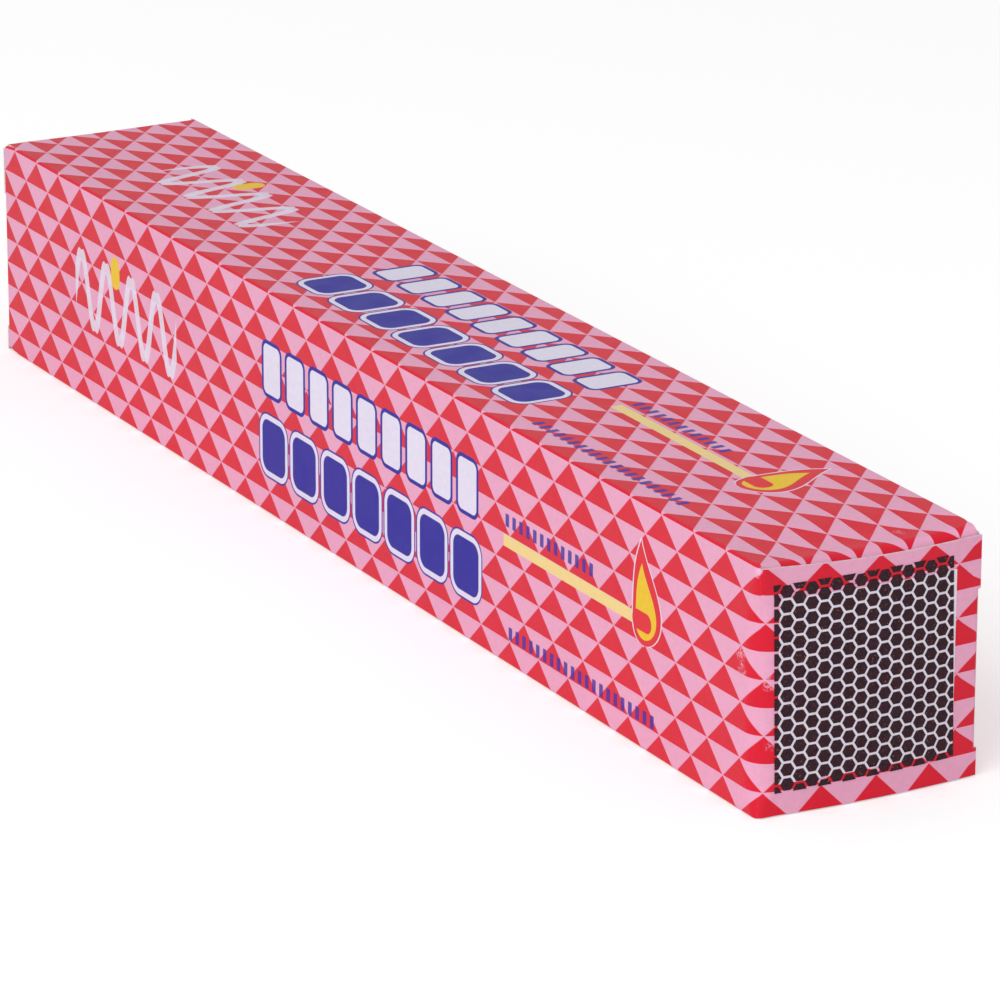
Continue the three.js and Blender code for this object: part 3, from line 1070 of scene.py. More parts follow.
RAW_INSIDE = Grained(
    "raw_inside", srgb(196, 190, 180), srgb(168, 160, 148), scale=1500.0, detail=4.0, rough=0.65,
    share=(0.42, 0.68), roughness=0.85, relief=0.25, stretch=0.25)
CUT_EDGE = replace(RAW_INSIDE, name="cut_edge", tone=srgb(236, 214, 220), grain=srgb(214, 186, 196))
STRIKER_COAT = Grained(
    "striker_coat", srgb(48, 22, 32), srgb(70, 42, 52), scale=2600.0, detail=3.0, rough=0.7,
    share=(0.4, 0.72), roughness=0.75, relief=0.5, specular=0.25, grit=srgb(190, 120, 90))
SPLINT_WOOD = Grained(
    "splint_wood", srgb(226, 196, 146), srgb(196, 156, 104), scale=1400.0, detail=4.0, rough=0.6,
    share=(0.35, 0.7), roughness=0.7, relief=0.3, stretch=0.04)
MATCH_HEAD = Grained(
    "match_head", srgb(122, 34, 30), srgb(150, 56, 46), scale=1800.0, detail=3.0, rough=0.65,
    share=(0.4, 0.7), roughness=0.8, relief=0.4, depth=0.08 * MM)


# Pieces of the printed sheet


@dataclass
class Profile:
    """An outline of the sheet seen edge on, which gives each point its place along the sheet."""

    points: Sequence[Vector]
    start: float

    def along(self, point: Vector) -> float:
        """Distance along the outline to the place nearest to a point.

        Args:
            point: Point seen edge on.

        Returns:
            The distance.
        """
        best, place, travelled = math.inf, self.start, self.start
        for first, second in zip(self.points, self.points[1:]):
            leg = second - first
            share = max(0.0, min(1.0, (point - first).dot(leg) / leg.length_squared))
            gap = (point - (first + leg * share)).length
            if gap < best:
                best, place = gap, travelled + leg.length * share
            travelled += leg.length
        return place


def arc(centre: Vector, radius: float, start: float, end: float, steps: int) -> list[Vector]:
    """Points of an arc in a plane, by the directions in which it faces."""
    turns = [start + (end - start) * step / steps for step in range(steps + 1)]
    return [centre + radius * Vector((math.cos(turn), math.sin(turn))) for turn in turns]


@dataclass
class Card:
    """Finishes shared by the sheet's pieces, and the steps that turn a skin into board."""

    printed: bpy.types.Material
    inside: bpy.types.Material
    edge: bpy.types.Material

    def print_on(self, obj: Object, place: Callable[[int, Vector], Pair]) -> None:
        """Gives a skin its coordinates on the printed sheet.

        Args:
            obj: The printed face of the piece, with its faces pointing out.
            place: Gives a corner's place on the sheet from its face's number and its point.
        """
        for other in list(obj.data.uv_layers):
            obj.data.uv_layers.remove(other)
        layer = obj.data.uv_layers.new(name="sheet")
        for face in obj.data.polygons:
            for loop in face.loop_indices:
                corner = obj.data.vertices[obj.data.loops[loop].vertex_index].co
                layer.data[loop].uv = place(face.index, Vector(corner))

    def thicken(self, obj: Object) -> None:
        """Gives a printed skin its board thickness and its three finishes.

        Args:
            obj: Object to work on.
        """
        for material in (self.printed, self.inside, self.edge):
            obj.data.materials.append(material)
        apply_modifier(obj, "SOLIDIFY", thickness=SIZE.board, offset=-1.0, use_quality_normals=True,
                       material_offset=1, material_offset_rim=2)
        shade(obj)


@dataclass
class Lid:
    """A tuck-in lid: the outer half of its soft fold, the bulging panel, the shoulders and the tab.

    A wave is the rise of the upper edge at its left, middle and right. The spring's pairs of places
    and lengths run across and along the box.
    """

    end: End
    card: Card
    shoulder_top: float = 9.5 * MM
    shoulder_bottom: float = 4.5 * MM
    edge_inset: float = 0.05 * MM
    spring: float = 0.55 * MM
    drop: float = 0.3 * MM
    tab_corner: float = 6 * MM
    near_wave: Tuple[float, float, float] = (0.35 * MM, -0.55 * MM, -0.5 * MM)
    far_wave: Tuple[float, float, float] = (-0.1 * MM, -0.5 * MM, -0.3 * MM)
    wave_from: float = 30 * MM
    spring_from: Pair = (17.2 * MM, 0.37 * MM)
    spring_ease: Pair = (2 * MM, 0.8 * MM)
    columns: int = 36
    rows: int = 40
    fold_steps: int = 14
    tab_steps: int = 6
    panel_steps: int = 24

    @property
    def tab_top(self) -> float:
        """Height where the tab begins below the upper shoulder."""
        return SIZE.lid_top - self.shoulder_top

    @property
    def tab_low(self) -> float:
        """Height where the tab ends above the lower shoulder."""
        return SIZE.lid_bottom + self.shoulder_bottom

    def build(self) -> Object:
        """Models the lid at the near end and turns it to its own end.

        Returns:
            The finished lid.
        """
        obj = self.panel()
        start_edit(obj)
        self.soft_fold(obj)
        self.shoulders(obj)
        self.tab(obj)
        end_edit()
        self.face_out(obj)
        profile = self.profile()

        def place(_: int, corner: Vector) -> Pair:
            along = SIZE.half_length - profile.along(corner.xy)
            if self.end is End.NEAR:
                return along, SIZE.around(-SIZE.half_width, corner.z, Face.LEFT)
            return SIZE.length - along, SIZE.around(SIZE.half_width, corner.z, Face.RIGHT)

        self.card.print_on(obj, place)
        for vertex in obj.data.vertices:
            vertex.co = self.relax(Vector(vertex.co))
        self.card.thicken(obj)
        if self.end is End.FAR:
            obj.data.transform(Matrix.Rotation(math.pi, 4, "Z"))
        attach(obj, self.end.body)
        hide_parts(self.end.body)
        log.info("%s: %d faces", obj.name, len(obj.data.polygons))
        return obj

    def panel(self) -> Object:
        """The bulging front panel, as a grid whose rows include the slits beside the tab.

        Returns:
            The grid's object.
        """
        start, end = PLAN.start.x, PLAN.end_x
        low, high = SIZE.lid_bottom, SIZE.lid_top
        obj = add_shape(
            f"{self.end.name.lower()}_lid_card", bpy.ops.mesh.primitive_grid_add,
            (end - start, high - low, 1), x_subdivisions=self.columns, y_subdivisions=self.rows, size=1,
            location=((start + end) / 2, 0, (low + high) / 2), rotation=(math.pi / 2, 0, 0))
        for height in (self.tab_low, self.tab_top):
            nearest = min({round(v.co.z, 7) for v in obj.data.vertices}, key=lambda z: abs(z - height))
            for vertex in obj.data.vertices:
                if abs(vertex.co.z - nearest) < TOUCH:
                    vertex.co.z = height
        for vertex in obj.data.vertices:
            vertex.co.y = PLAN.panel(vertex.co.x)[0]
        return obj

    def soft_fold(self, obj: Object) -> None:
        """Rolls the panel's hinged edge back to the middle of the soft fold."""
        pick_edges(obj, lambda a, b: max(a.x, b.x) < PLAN.start.x + TOUCH)
        spin(-(math.pi / 4 - PLAN.tilts[0]), PLAN.centre.to_3d(), UP, self.fold_steps)

    def shoulders(self, obj: Object) -> None:
        """Carries the panel straight on above and below the tab.

        Args:
            obj: Object to work on.
        """
        reach = SIZE.half_width - self.edge_inset - PLAN.end_x
        step = Vector((reach, reach * math.tan(PLAN.tilts[1]), 0))
        for low, high in ((SIZE.lid_bottom, self.tab_low), (self.tab_top, SIZE.lid_top)):
            pick_edges(obj, lambda a, b: min(a.x, b.x) > PLAN.end_x - TOUCH
                       and min(a.z, b.z) > low - TOUCH and max(a.z, b.z) < high + TOUCH)
            extrude(step)

    def tab(self, obj: Object) -> None:
        """Folds the tab back into the box and rounds its corners.

        Args:
            obj: Object to work on.
        """
        pick_edges(obj, lambda a, b: max(abs(a.x - PLAN.end_x), abs(b.x - PLAN.end_x)) < TOUCH
                   and min(a.z, b.z) > self.tab_low - TOUCH and max(a.z, b.z) < self.tab_top + TOUCH)
        lean = PLAN.lean
        spin(math.pi / 2 - PLAN.tilts[1] + lean, PLAN.tab_centre.to_3d(), UP, self.fold_steps)
        along = Vector((-math.sin(lean), math.cos(lean), 0))
        centre = Vector((0, 0, (self.tab_low + self.tab_top) / 2))
        half = (self.tab_top - self.tab_low) / 2
        extrude(along * (PLAN.tab_length - self.tab_corner))
        round_off(along, half, self.tab_corner, self.tab_steps, 2, centre)

    def face_out(self, obj: Object) -> None:
        """Turns the printed side outwards.

        Args:
            obj: Object to work on.
        """
        start_edit(obj)
        even_normals()
        end_edit()
        front = Vector((0, -SIZE.half_length))
        middle = min(obj.data.polygons, key=lambda face: sum(map(abs, face.center.xy - front)))
        if middle.normal.y > 0:
            obj.data.flip_normals()

    def profile(self) -> Profile:
        """Outline of the lid from above, from the middle of its fold to the tip of its tab.

        Returns:
            The outline.
        """
        fold = arc(PLAN.centre, SIZE.lid_fold, 1.25 * math.pi, 1.5 * math.pi - PLAN.tilts[0], self.fold_steps)
        span = PLAN.end_x - PLAN.start.x
        steps = range(1, self.panel_steps + 1)
        places = [PLAN.start.x + span * step / self.panel_steps for step in steps]
        panel = [Vector((x, PLAN.panel(x)[0])) for x in places]
        bend = arc(PLAN.tab_centre, PLAN.tab_fold, PLAN.tilts[1] - math.pi / 2, PLAN.lean, self.fold_steps)
        tip = bend[-1] + PLAN.tab_length * Vector((-math.sin(PLAN.lean), math.cos(PLAN.lean)))
        begun = SIZE.half_length - SIZE.lid_fold + SIZE.lid_fold * math.pi / 4
        return Profile([*fold, *panel, *bend[1:], tip], begun)

    def relax(self, point: Vector) -> Vector:
        """Tightens the fold at its corners, lets the upper edge wave and springs the tab out.

        Args:
            point: Point of the sheet, at the near end.

        Returns:
            The moved point.
        """
        moved = PLAN.tighten(self.round_corner(point))
        left, middle, right = self.near_wave if self.end is End.NEAR else self.far_wave
        share = (point.x + SIZE.half_width) / SIZE.width
        rise = left * (1 - share) + right * share + 4 * (middle - (left + right) / 2) * share * (1 - share)
        height = max(0.0, (point.z - self.wave_from) / (SIZE.lid_top - self.wave_from))
        if point.y < -SIZE.half_length + SIZE.lid_fold:
            moved.z += rise * height ** 2 - self.drop * max(0.0, 1 - point.z / self.tab_low)
        in_tab_rows = self.tab_low - TOUCH < point.z < self.tab_top + TOUCH
        if in_tab_rows and point.x < PLAN.tab_x + PLAN.tab_fold + TOUCH:
            (across, beyond), (ease_across, ease_beyond) = self.spring_from, self.spring_ease
            forward = smooth((PLAN.tab_centre.y + beyond - point.y) / ease_beyond)
            moved.x += self.spring * forward * smooth((point.x - across) / ease_across)
        return moved

    def round_corner(self, point: Vector) -> Vector:
        """Draws the fold's top and bottom in, as the long folds beside it are rounded.

        Args:
            point: Point of the sheet, at the near end.

        Returns:
            The moved point.
        """
        away = point.xy - PLAN.centre
        if away.x >= 0 or away.y >= 0:
            return point
        beyond = max(point.z - (SIZE.height - SIZE.long_fold), SIZE.long_fold - point.z, 0.0)
        inset = SIZE.long_fold - math.sqrt(SIZE.long_fold ** 2 - min(beyond, SIZE.long_fold) ** 2)
        share = smooth((math.atan2(-away.y, -away.x) - math.pi / 4) / (math.pi / 6))
        placed = PLAN.centre + away * (1 - inset * (1 - share) / SIZE.lid_fold)
        return Vector((placed.x, placed.y, point.z))


class Part(Enum):
    """Parts of the carton's folded sheet, in the order of making."""

    TUBE = 0
    HINGED_SIDE = 1
    PLAIN_SIDE = 2
    UPPER_FLAP = 3
    LOWER_FLAP = 4


@dataclass
class Carton:
    """The long tube with its dust flaps, and the halves of the lids' folds that stay with it."""

    card: Card
    flap_side_gap: float = 0.5 * MM
    flap_taper: float = 1.0 * MM
    flap_corner: float = 2 * MM
    flap_shoulder: float = 1 * MM
    flap_corner_steps: int = 4
    flap_gap: float = 0.25 * MM
    least_setback: float = 0.5 * MM
    glue_flap: float = 12 * MM
    glue_flap_setback: float = 9 * MM
    glue_flap_gap: float = 0.55 * MM
    seam_inset: float = 1.2 * MM
    seam_width: float = 0.3 * MM
    fold_steps: int = 14
    long_fold_steps: int = 6
    fold_rim: float = 0.988
    half_panel_cuts: int = 10
    end_cuts: int = 12
    end_cut_power: float = 1.5
    end_cut_reach: float = 20 * MM
    sag: float = 1.0 * MM
    far_sag: float = 0.15 * MM
    sag_length: float = 13 * MM
    tight_flap: float = 1.1 * MM
    right_flap: float = 1.7 * MM
    droop_height: float = 6 * MM
    droop_ease: float = 4 * MM
    marks: list[Tuple[int, Part, End]] = field(default_factory=list)

    def build(self) -> Object:
        """Models the whole folded sheet except the lids.

        Returns:
            The finished carton.
        """
        obj = self.tube()
        for end in End:
            self.hinged_side(obj, end)
            self.plain_side(obj, end)
            self.dust_flap(obj, end, True)
            self.dust_flap(obj, end, False)
        even_normals()
        end_edit()
        owners = self.owners()
        faces = obj.data.polygons
        self.card.print_on(obj, lambda face, corner: self.place(corner, faces[face].center, *owners[face]))
        self.refold(obj, owners)
        self.card.thicken(obj)
        self.close_seam(obj)
        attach(obj, "box")
        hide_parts("carton")
        log.info("%s: %d faces", obj.name, len(obj.data.polygons))
        return obj

    def tube(self) -> Object:
        """The four long panels with their rounded folds, cut finely towards the ends.

        Returns:
            The tube's object, in edit mode.
        """
        obj = add_shape(
            "carton_card", bpy.ops.mesh.primitive_cube_add, (SIZE.width, 2 * SIZE.panels_part, SIZE.height),
            size=1, location=(0, 0, SIZE.height / 2))
        start_edit(obj)
        pick_faces(obj, lambda middle, normal: abs(normal.y) > 0.9)
        bpy.ops.mesh.delete(type="ONLY_FACE")
        pick_edges(obj, lambda a, b: abs(a.y - b.y) > SIZE.length / 2)
        bpy.ops.mesh.bevel(offset=SIZE.long_fold, segments=self.long_fold_steps, profile=0.5, affect="EDGES")
        count = self.half_panel_cuts
        for share in (*(step / count for step in range(1 - count, count)), -self.fold_rim, self.fold_rim):
            cut(ACROSS * (share * SIZE.inner), ACROSS)
            cut(UP * (SIZE.height / 2 + share * (SIZE.height / 2 - SIZE.long_fold)), UP)
        for step in range(1, self.end_cuts + 1):
            for end in End:
                share = (step / self.end_cuts) ** self.end_cut_power
                cut(ALONG * end.value * (SIZE.panels_part - share * self.end_cut_reach), ALONG)
        seam = SIZE.half_width - self.seam_inset
        inner_seam = seam - self.seam_width
        for place in (inner_seam, seam):
            cut(ACROSS * place, ACROSS)
        pick_faces(obj, lambda middle, _: inner_seam < middle.x < seam and middle.z < SIZE.long_fold)
        bpy.ops.mesh.delete(type="ONLY_FACE")
        even_normals()
        self.mark(obj, Part.TUBE, End.NEAR)
        return obj

    def mark(self, obj: Object, part: Part, end: End) -> None:
        """Notes that the faces made since the last mark belong to a part of the sheet."""
        self.marks.append((len(bmesh.from_edit_mesh(obj.data).faces), part, end))

    def owners(self) -> list[Tuple[Part, End]]:
        """The part and end that each face belongs to.

        Returns:
            The part and end of each face.
        """
        owners, made = [], 0
        for count, part, end in self.marks:
            owners += [(part, end)] * (count - made)
            made = count
        return owners

    def hinged_side(self, obj: Object, end: End) -> None:
        """Carries the panel that holds a lid on to the middle of the lid's fold.

        Args:
            obj: Object to work on.
            end: End of the carton.
        """
        side = end.value
        start = SIZE.half_length - SIZE.lid_fold
        self.end_edges(obj, end, lambda point: side * point.x > SIZE.inner - TOUCH)
        extrude(Vector((0, side * (start - SIZE.panels_part), 0)))
        centre = Vector((side * (SIZE.half_width - SIZE.lid_fold), side * start, 0))
        spin(math.pi / 4, centre, UP, self.fold_steps)
        self.mark(obj, Part.HINGED_SIDE, end)

    def plain_side(self, obj: Object, end: End) -> None:
        """Carries the other side panel on to its cut edge behind the lid's shoulders.

        Args:
            obj: Object to work on.
            end: End of the carton.
        """
        side = end.value
        self.end_edges(obj, end, lambda point: -side * point.x > SIZE.inner - TOUCH)
        extrude(Vector((0, side * (-PLAN.side_edge - SIZE.panels_part), 0)))
        self.mark(obj, Part.PLAIN_SIDE, end)

    def dust_flap(self, obj: Object, end: End, upper: bool) -> None:
        """Folds the end of the top or bottom panel in behind the lid.

        Args:
            obj: Object to work on.
            end: End of the carton.
            upper: Whether it is the upper flap.
        """
        side = end.value
        up = 1 if upper else -1
        skin = SIZE.height if upper else 0.0
        self.end_edges(obj, end, lambda point: abs(point.z - skin) < TOUCH)
        extrude(Vector((0, side * (SIZE.flap_start - SIZE.panels_part), 0)))
        centre = Vector((0, side * SIZE.flap_start, skin - up * SIZE.flap_fold))
        spin(-up * side * math.pi / 2, centre, ACROSS, self.fold_steps)
        wide = SIZE.inner - self.flap_side_gap - self.flap_taper
        extrude(UP * (-up * self.flap_shoulder), (wide / SIZE.inner, 1, 1))
        length = SIZE.flap_length - SIZE.flap_fold - self.flap_shoulder - self.flap_corner
        narrow = wide - self.flap_taper
        extrude(UP * (-up * length), (narrow / wide, 1, 1))
        round_off(UP * -up, narrow, self.flap_corner, self.flap_corner_steps, 0)
        self.mark(obj, Part.UPPER_FLAP if upper else Part.LOWER_FLAP, end)

    def end_edges(self, obj: Object, end: End, wanted: Callable[[Vector], bool]) -> None:
        """Selects the tube's open edges at one end whose two points pass a test.

        Args:
            obj: Object to work on.
            end: End of the carton.
            wanted: Test of one end point.
        """
        reach = end.value * SIZE.panels_part
        pick_edges(obj, lambda a, b: max(abs(a.y - reach), abs(b.y - reach)) < TOUCH
                   and wanted(a) and wanted(b))

    def unrolled(self, corner: Vector, end: End) -> Tuple[Vector, float]:
        """Undoes the soft fold: a point's place on the flat panel, and its distance from the middle.

        Args:
            corner: Corner of a face.
            end: End of the carton.

        Returns:
            The place on the flat panel, and the distance.
        """
        side = end.value
        start = SIZE.half_length - SIZE.lid_fold
        beyond = side * corner.y - start
        if beyond <= TOUCH:
            return corner, side * corner.y
        centre = SIZE.half_width - SIZE.lid_fold
        across = side * corner.x - centre
        angle = math.atan2(beyond, across)
        flat = Vector((side * (centre + math.hypot(across, beyond)), corner.y, corner.z))
        return flat, start + SIZE.lid_fold * angle

    def flap_travel(self, corner: Vector, part: Part, end: End) -> float:
        """Distance of a dust flap's point from the middle of the box, along the card.

        Args:
            corner: Corner of a face.
            part: Part of the sheet.
            end: End of the carton.

        Returns:
            The distance.
        """
        down = SIZE.height - corner.z if part is Part.UPPER_FLAP else corner.z
        reach = end.value * corner.y
        if down > SIZE.flap_fold:
            return SIZE.flap_start + SIZE.flap_fold * math.pi / 2 + down - SIZE.flap_fold
        if reach > SIZE.flap_start:
            return SIZE.flap_start + SIZE.flap_fold * math.acos(max(-1.0, 1 - down / SIZE.flap_fold))
        return reach

    def place(self, corner: Vector, middle: Vector, part: Part, end: End) -> Pair:
        """Place on the printed sheet of one corner of a face.

        Args:
            corner: Corner of a face.
            middle: Middle of the face.
            part: Part of the sheet.
            end: End of the carton.

        Returns:
            The place along and around the sheet.
        """
        side = end.value
        if part in (Part.TUBE, Part.PLAIN_SIDE):
            face = SIZE.face_at(middle.x, middle.z)
            return SIZE.half_length + corner.y, SIZE.around(corner.x, corner.z, face)
        if part is Part.HINGED_SIDE:
            flat, travelled = self.unrolled(corner, end)
            flat_middle, _ = self.unrolled(Vector(middle), end)
            flat_x = max(-SIZE.half_width, min(SIZE.half_width, flat.x))
            face = SIZE.face_at(flat_middle.x, middle.z)
            return SIZE.half_length + side * travelled, SIZE.around(flat_x, corner.z, face)
        travelled = self.flap_travel(corner, part, end)
        face = Face.TOP if part is Part.UPPER_FLAP else Face.BOTTOM
        return SIZE.half_length + side * travelled, SIZE.around(corner.x, 0.0, face)

    def refold(self, obj: Object, owners: Sequence[Tuple[Part, End]]) -> None:
        """Folds the ends again as soft card lies: tight at the corners, easy in the middle.

        Args:
            obj: Object to work on.
            owners: Part and end of each face.
        """
        owned = {}
        for face in obj.data.polygons:
            for vertex in face.vertices:
                if vertex not in owned or owned[vertex][0] is Part.TUBE:
                    owned[vertex] = owners[face.index]
        for index, (part, end) in owned.items():
            vertex = obj.data.vertices[index]
            near = Vector((-end.value * vertex.co.x, -end.value * vertex.co.y, vertex.co.z))
            if part is Part.HINGED_SIDE:
                near = PLAN.tighten(near)
            elif part is Part.PLAIN_SIDE:
                near.z -= math.copysign(self.droop(near, end), near.z - SIZE.height / 2)
            elif part in (Part.UPPER_FLAP, Part.LOWER_FLAP):
                near = self.fold_flap(near, part, end)
            vertex.co = Vector((-end.value * near.x, -end.value * near.y, near.z))
        for vertex in obj.data.vertices:
            across = max(0.0, 1 - (vertex.co.x / SIZE.inner) ** 2)
            reach = (abs(vertex.co.y) - SIZE.flap_start) / self.sag_length + 1
            if vertex.co.z > SIZE.height / 2 and abs(vertex.co.x) < SIZE.inner:
                sag = self.sag if vertex.co.y < 0 else self.far_sag
                vertex.co.z -= sag * across * smooth(reach)

    def flap_plan(self, x: float, end: End) -> Pair:
        """Where a dust flap hangs behind its lid and how tightly it is folded, at a place across it.

        Args:
            x: Place across the box.
            end: End of the carton.

        Returns:
            The place along the box, and the radius.
        """
        behind_lid = PLAN.panel(min(max(x, PLAN.start.x), PLAN.end_x))[0] + SIZE.board + self.flap_gap
        face = -max(behind_lid, -SIZE.half_length + self.least_setback)
        if end is End.FAR:
            return face, self.tight_flap
        across = x / SIZE.inner
        tighter = SIZE.flap_fold - (self.tight_flap if across < 0 else self.right_flap)
        return face, SIZE.flap_fold - tighter * across ** 2

    def droop(self, near: Vector, end: End) -> float:
        """How far the corner beside a dust flap sinks with the flap's fold.

        Args:
            near: The point, as if at the near end.
            end: End of the carton.

        Returns:
            The drop.
        """
        face, radius = self.flap_plan(SIZE.inner, end)
        beyond = min(max(0.0, -near.y - face + radius), radius)
        sunk = radius - math.sqrt(radius ** 2 - beyond ** 2)
        below = SIZE.height / 2 - abs(near.z - SIZE.height / 2)
        return sunk * smooth((self.droop_height - below) / self.droop_ease)

    def fold_flap(self, near: Vector, part: Part, end: End) -> Vector:
        """Folds a point of a near dust flap round a fold whose radius changes across the panel.

        Args:
            near: The point, as if at the near end.
            part: Part of the sheet.
            end: End of the carton.

        Returns:
            The moved point.
        """
        travelled = self.flap_travel(near, part, End.NEAR)
        face, radius = self.flap_plan(near.x, end)
        start = face - radius
        if travelled < start:
            reach, down = travelled, 0.0
        elif travelled < start + radius * math.pi / 2:
            angle = (travelled - start) / radius
            reach, down = start + radius * math.sin(angle), radius * (1 - math.cos(angle))
        else:
            reach, down = face, radius + travelled - start - radius * math.pi / 2
        height = SIZE.height - down if part is Part.UPPER_FLAP else down
        return Vector((near.x, -reach, height))

    def close_seam(self, obj: Object) -> None:
        """Adds the glue flap, which lies inside under the seam.

        Args:
            obj: Object to work on.
        """
        long = SIZE.length - 2 * self.glue_flap_setback
        middle = SIZE.half_width - 2 * SIZE.board - self.glue_flap / 2
        flap = add_shape(
            "glue_flap", bpy.ops.mesh.primitive_plane_add, (self.glue_flap, long, 1),
            size=1, location=(middle, 0, SIZE.board + self.glue_flap_gap))
        for vertex in flap.data.vertices:
            if vertex.co.x < middle:
                vertex.co.y *= 1 - self.glue_flap / long
        for material in (self.card.inside, self.card.inside, self.card.edge):
            flap.data.materials.append(material)
        apply_modifier(flap, "SOLIDIFY", thickness=SIZE.board, offset=-1.0, material_offset_rim=2)
        flap.select_set(True)
        obj.select_set(True)
        bpy.context.view_layer.objects.active = obj
        bpy.ops.object.join()


@dataclass
class Striker:
    """The striking surface: six-sided cells of friction coat, printed on the near lid.

    The field is a little askew. Its squeeze is given at the top, and by how much less it is at the
    bottom. Its lift is given at the left, and by how much more it is at the right.
    """

    material: bpy.types.Material
    columns: int = 15
    rows: int = 14
    column_pitch: float = 2.25 * MM
    row_pitch: float = 2.52 * MM
    line: float = 0.44 * MM
    left: float = 2.9 * MM
    bottom: float = 3.7 * MM
    raised: float = 0.11 * MM
    sunk: float = 0.05 * MM
    soft_edge: float = 0.06 * MM
    shift: float = -0.1 * MM
    slant: float = 0.66 * MM
    squeeze: Pair = (0.75 * MM, 0.24 * MM)
    lift: Pair = (0.3 * MM, 0.4 * MM)

    def build(self) -> Object:
        """Models one cell, repeats it, trims the field and lays it on the lid.

        Returns:
            The finished striking surface.
        """
        left = -SIZE.half_width + self.left
        right = left + self.columns * self.column_pitch
        top = self.bottom + self.rows * self.row_pitch
        sixth = math.pi / 3
        tall = (self.row_pitch - self.line) / 2 / math.sin(sixth)
        wide = self.column_pitch / (1 + math.cos(sixth)) - self.line / 2 / math.sin(sixth)
        obj = add_shape(
            "striker_cells", bpy.ops.mesh.primitive_cylinder_add, (tall, wide, self.raised + self.sunk),
            vertices=6, radius=1, depth=1, rotation=(math.pi / 2, math.pi / 2, 0),
            location=(left, (self.sunk - self.raised) / 2, top))
        start_edit(obj)
        pick_edges(obj, lambda a, b: max(a.y, b.y) < 0)
        bpy.ops.mesh.bevel(offset=self.soft_edge, segments=1, affect="EDGES")
        bpy.ops.mesh.select_all(action="SELECT")
        step = (self.column_pitch, 0, -self.row_pitch / 2)
        bpy.ops.mesh.duplicate_move(TRANSFORM_OT_translate={"value": step})
        end_edit()
        for count, step in (
                ((self.columns + 1) // 2, ACROSS * 2 * self.column_pitch),
                (self.rows + 1, UP * -self.row_pitch)):
            apply_modifier(obj, "ARRAY", count=count, use_relative_offset=False,
                           use_constant_offset=True, constant_offset_displace=step)
        start_edit(obj)
        for point, normal in (
                (ACROSS * left, -ACROSS), (ACROSS * right, ACROSS), (UP * self.bottom, -UP), (UP * top, UP)):
            bpy.ops.mesh.select_all(action="SELECT")
            bpy.ops.mesh.bisect(
                plane_co=tuple(point), plane_no=tuple(normal), clear_outer=True, use_fill=True)
        even_normals()
        end_edit()
        for vertex in obj.data.vertices:
            across = (vertex.co.x - left) / (right - left)
            down = (top - vertex.co.z) / (top - self.bottom)
            narrowed = (self.squeeze[0] - self.squeeze[1] * down) * across
            vertex.co.x += self.shift + self.slant * down - narrowed
            vertex.co.z += (self.lift[0] + self.lift[1] * across) * down
            point, facing = PLAN.skin(vertex.co.x)
            lifted = point - facing * vertex.co.y
            vertex.co = PLAN.tighten(Vector((lifted.x, lifted.y, vertex.co.z)))
        obj.data.materials.append(self.material)
        shade(obj)
        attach(obj, "near_lid")
        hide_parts("striker")
        log.info("%s: %d faces", obj.name, len(obj.data.polygons))
        return obj


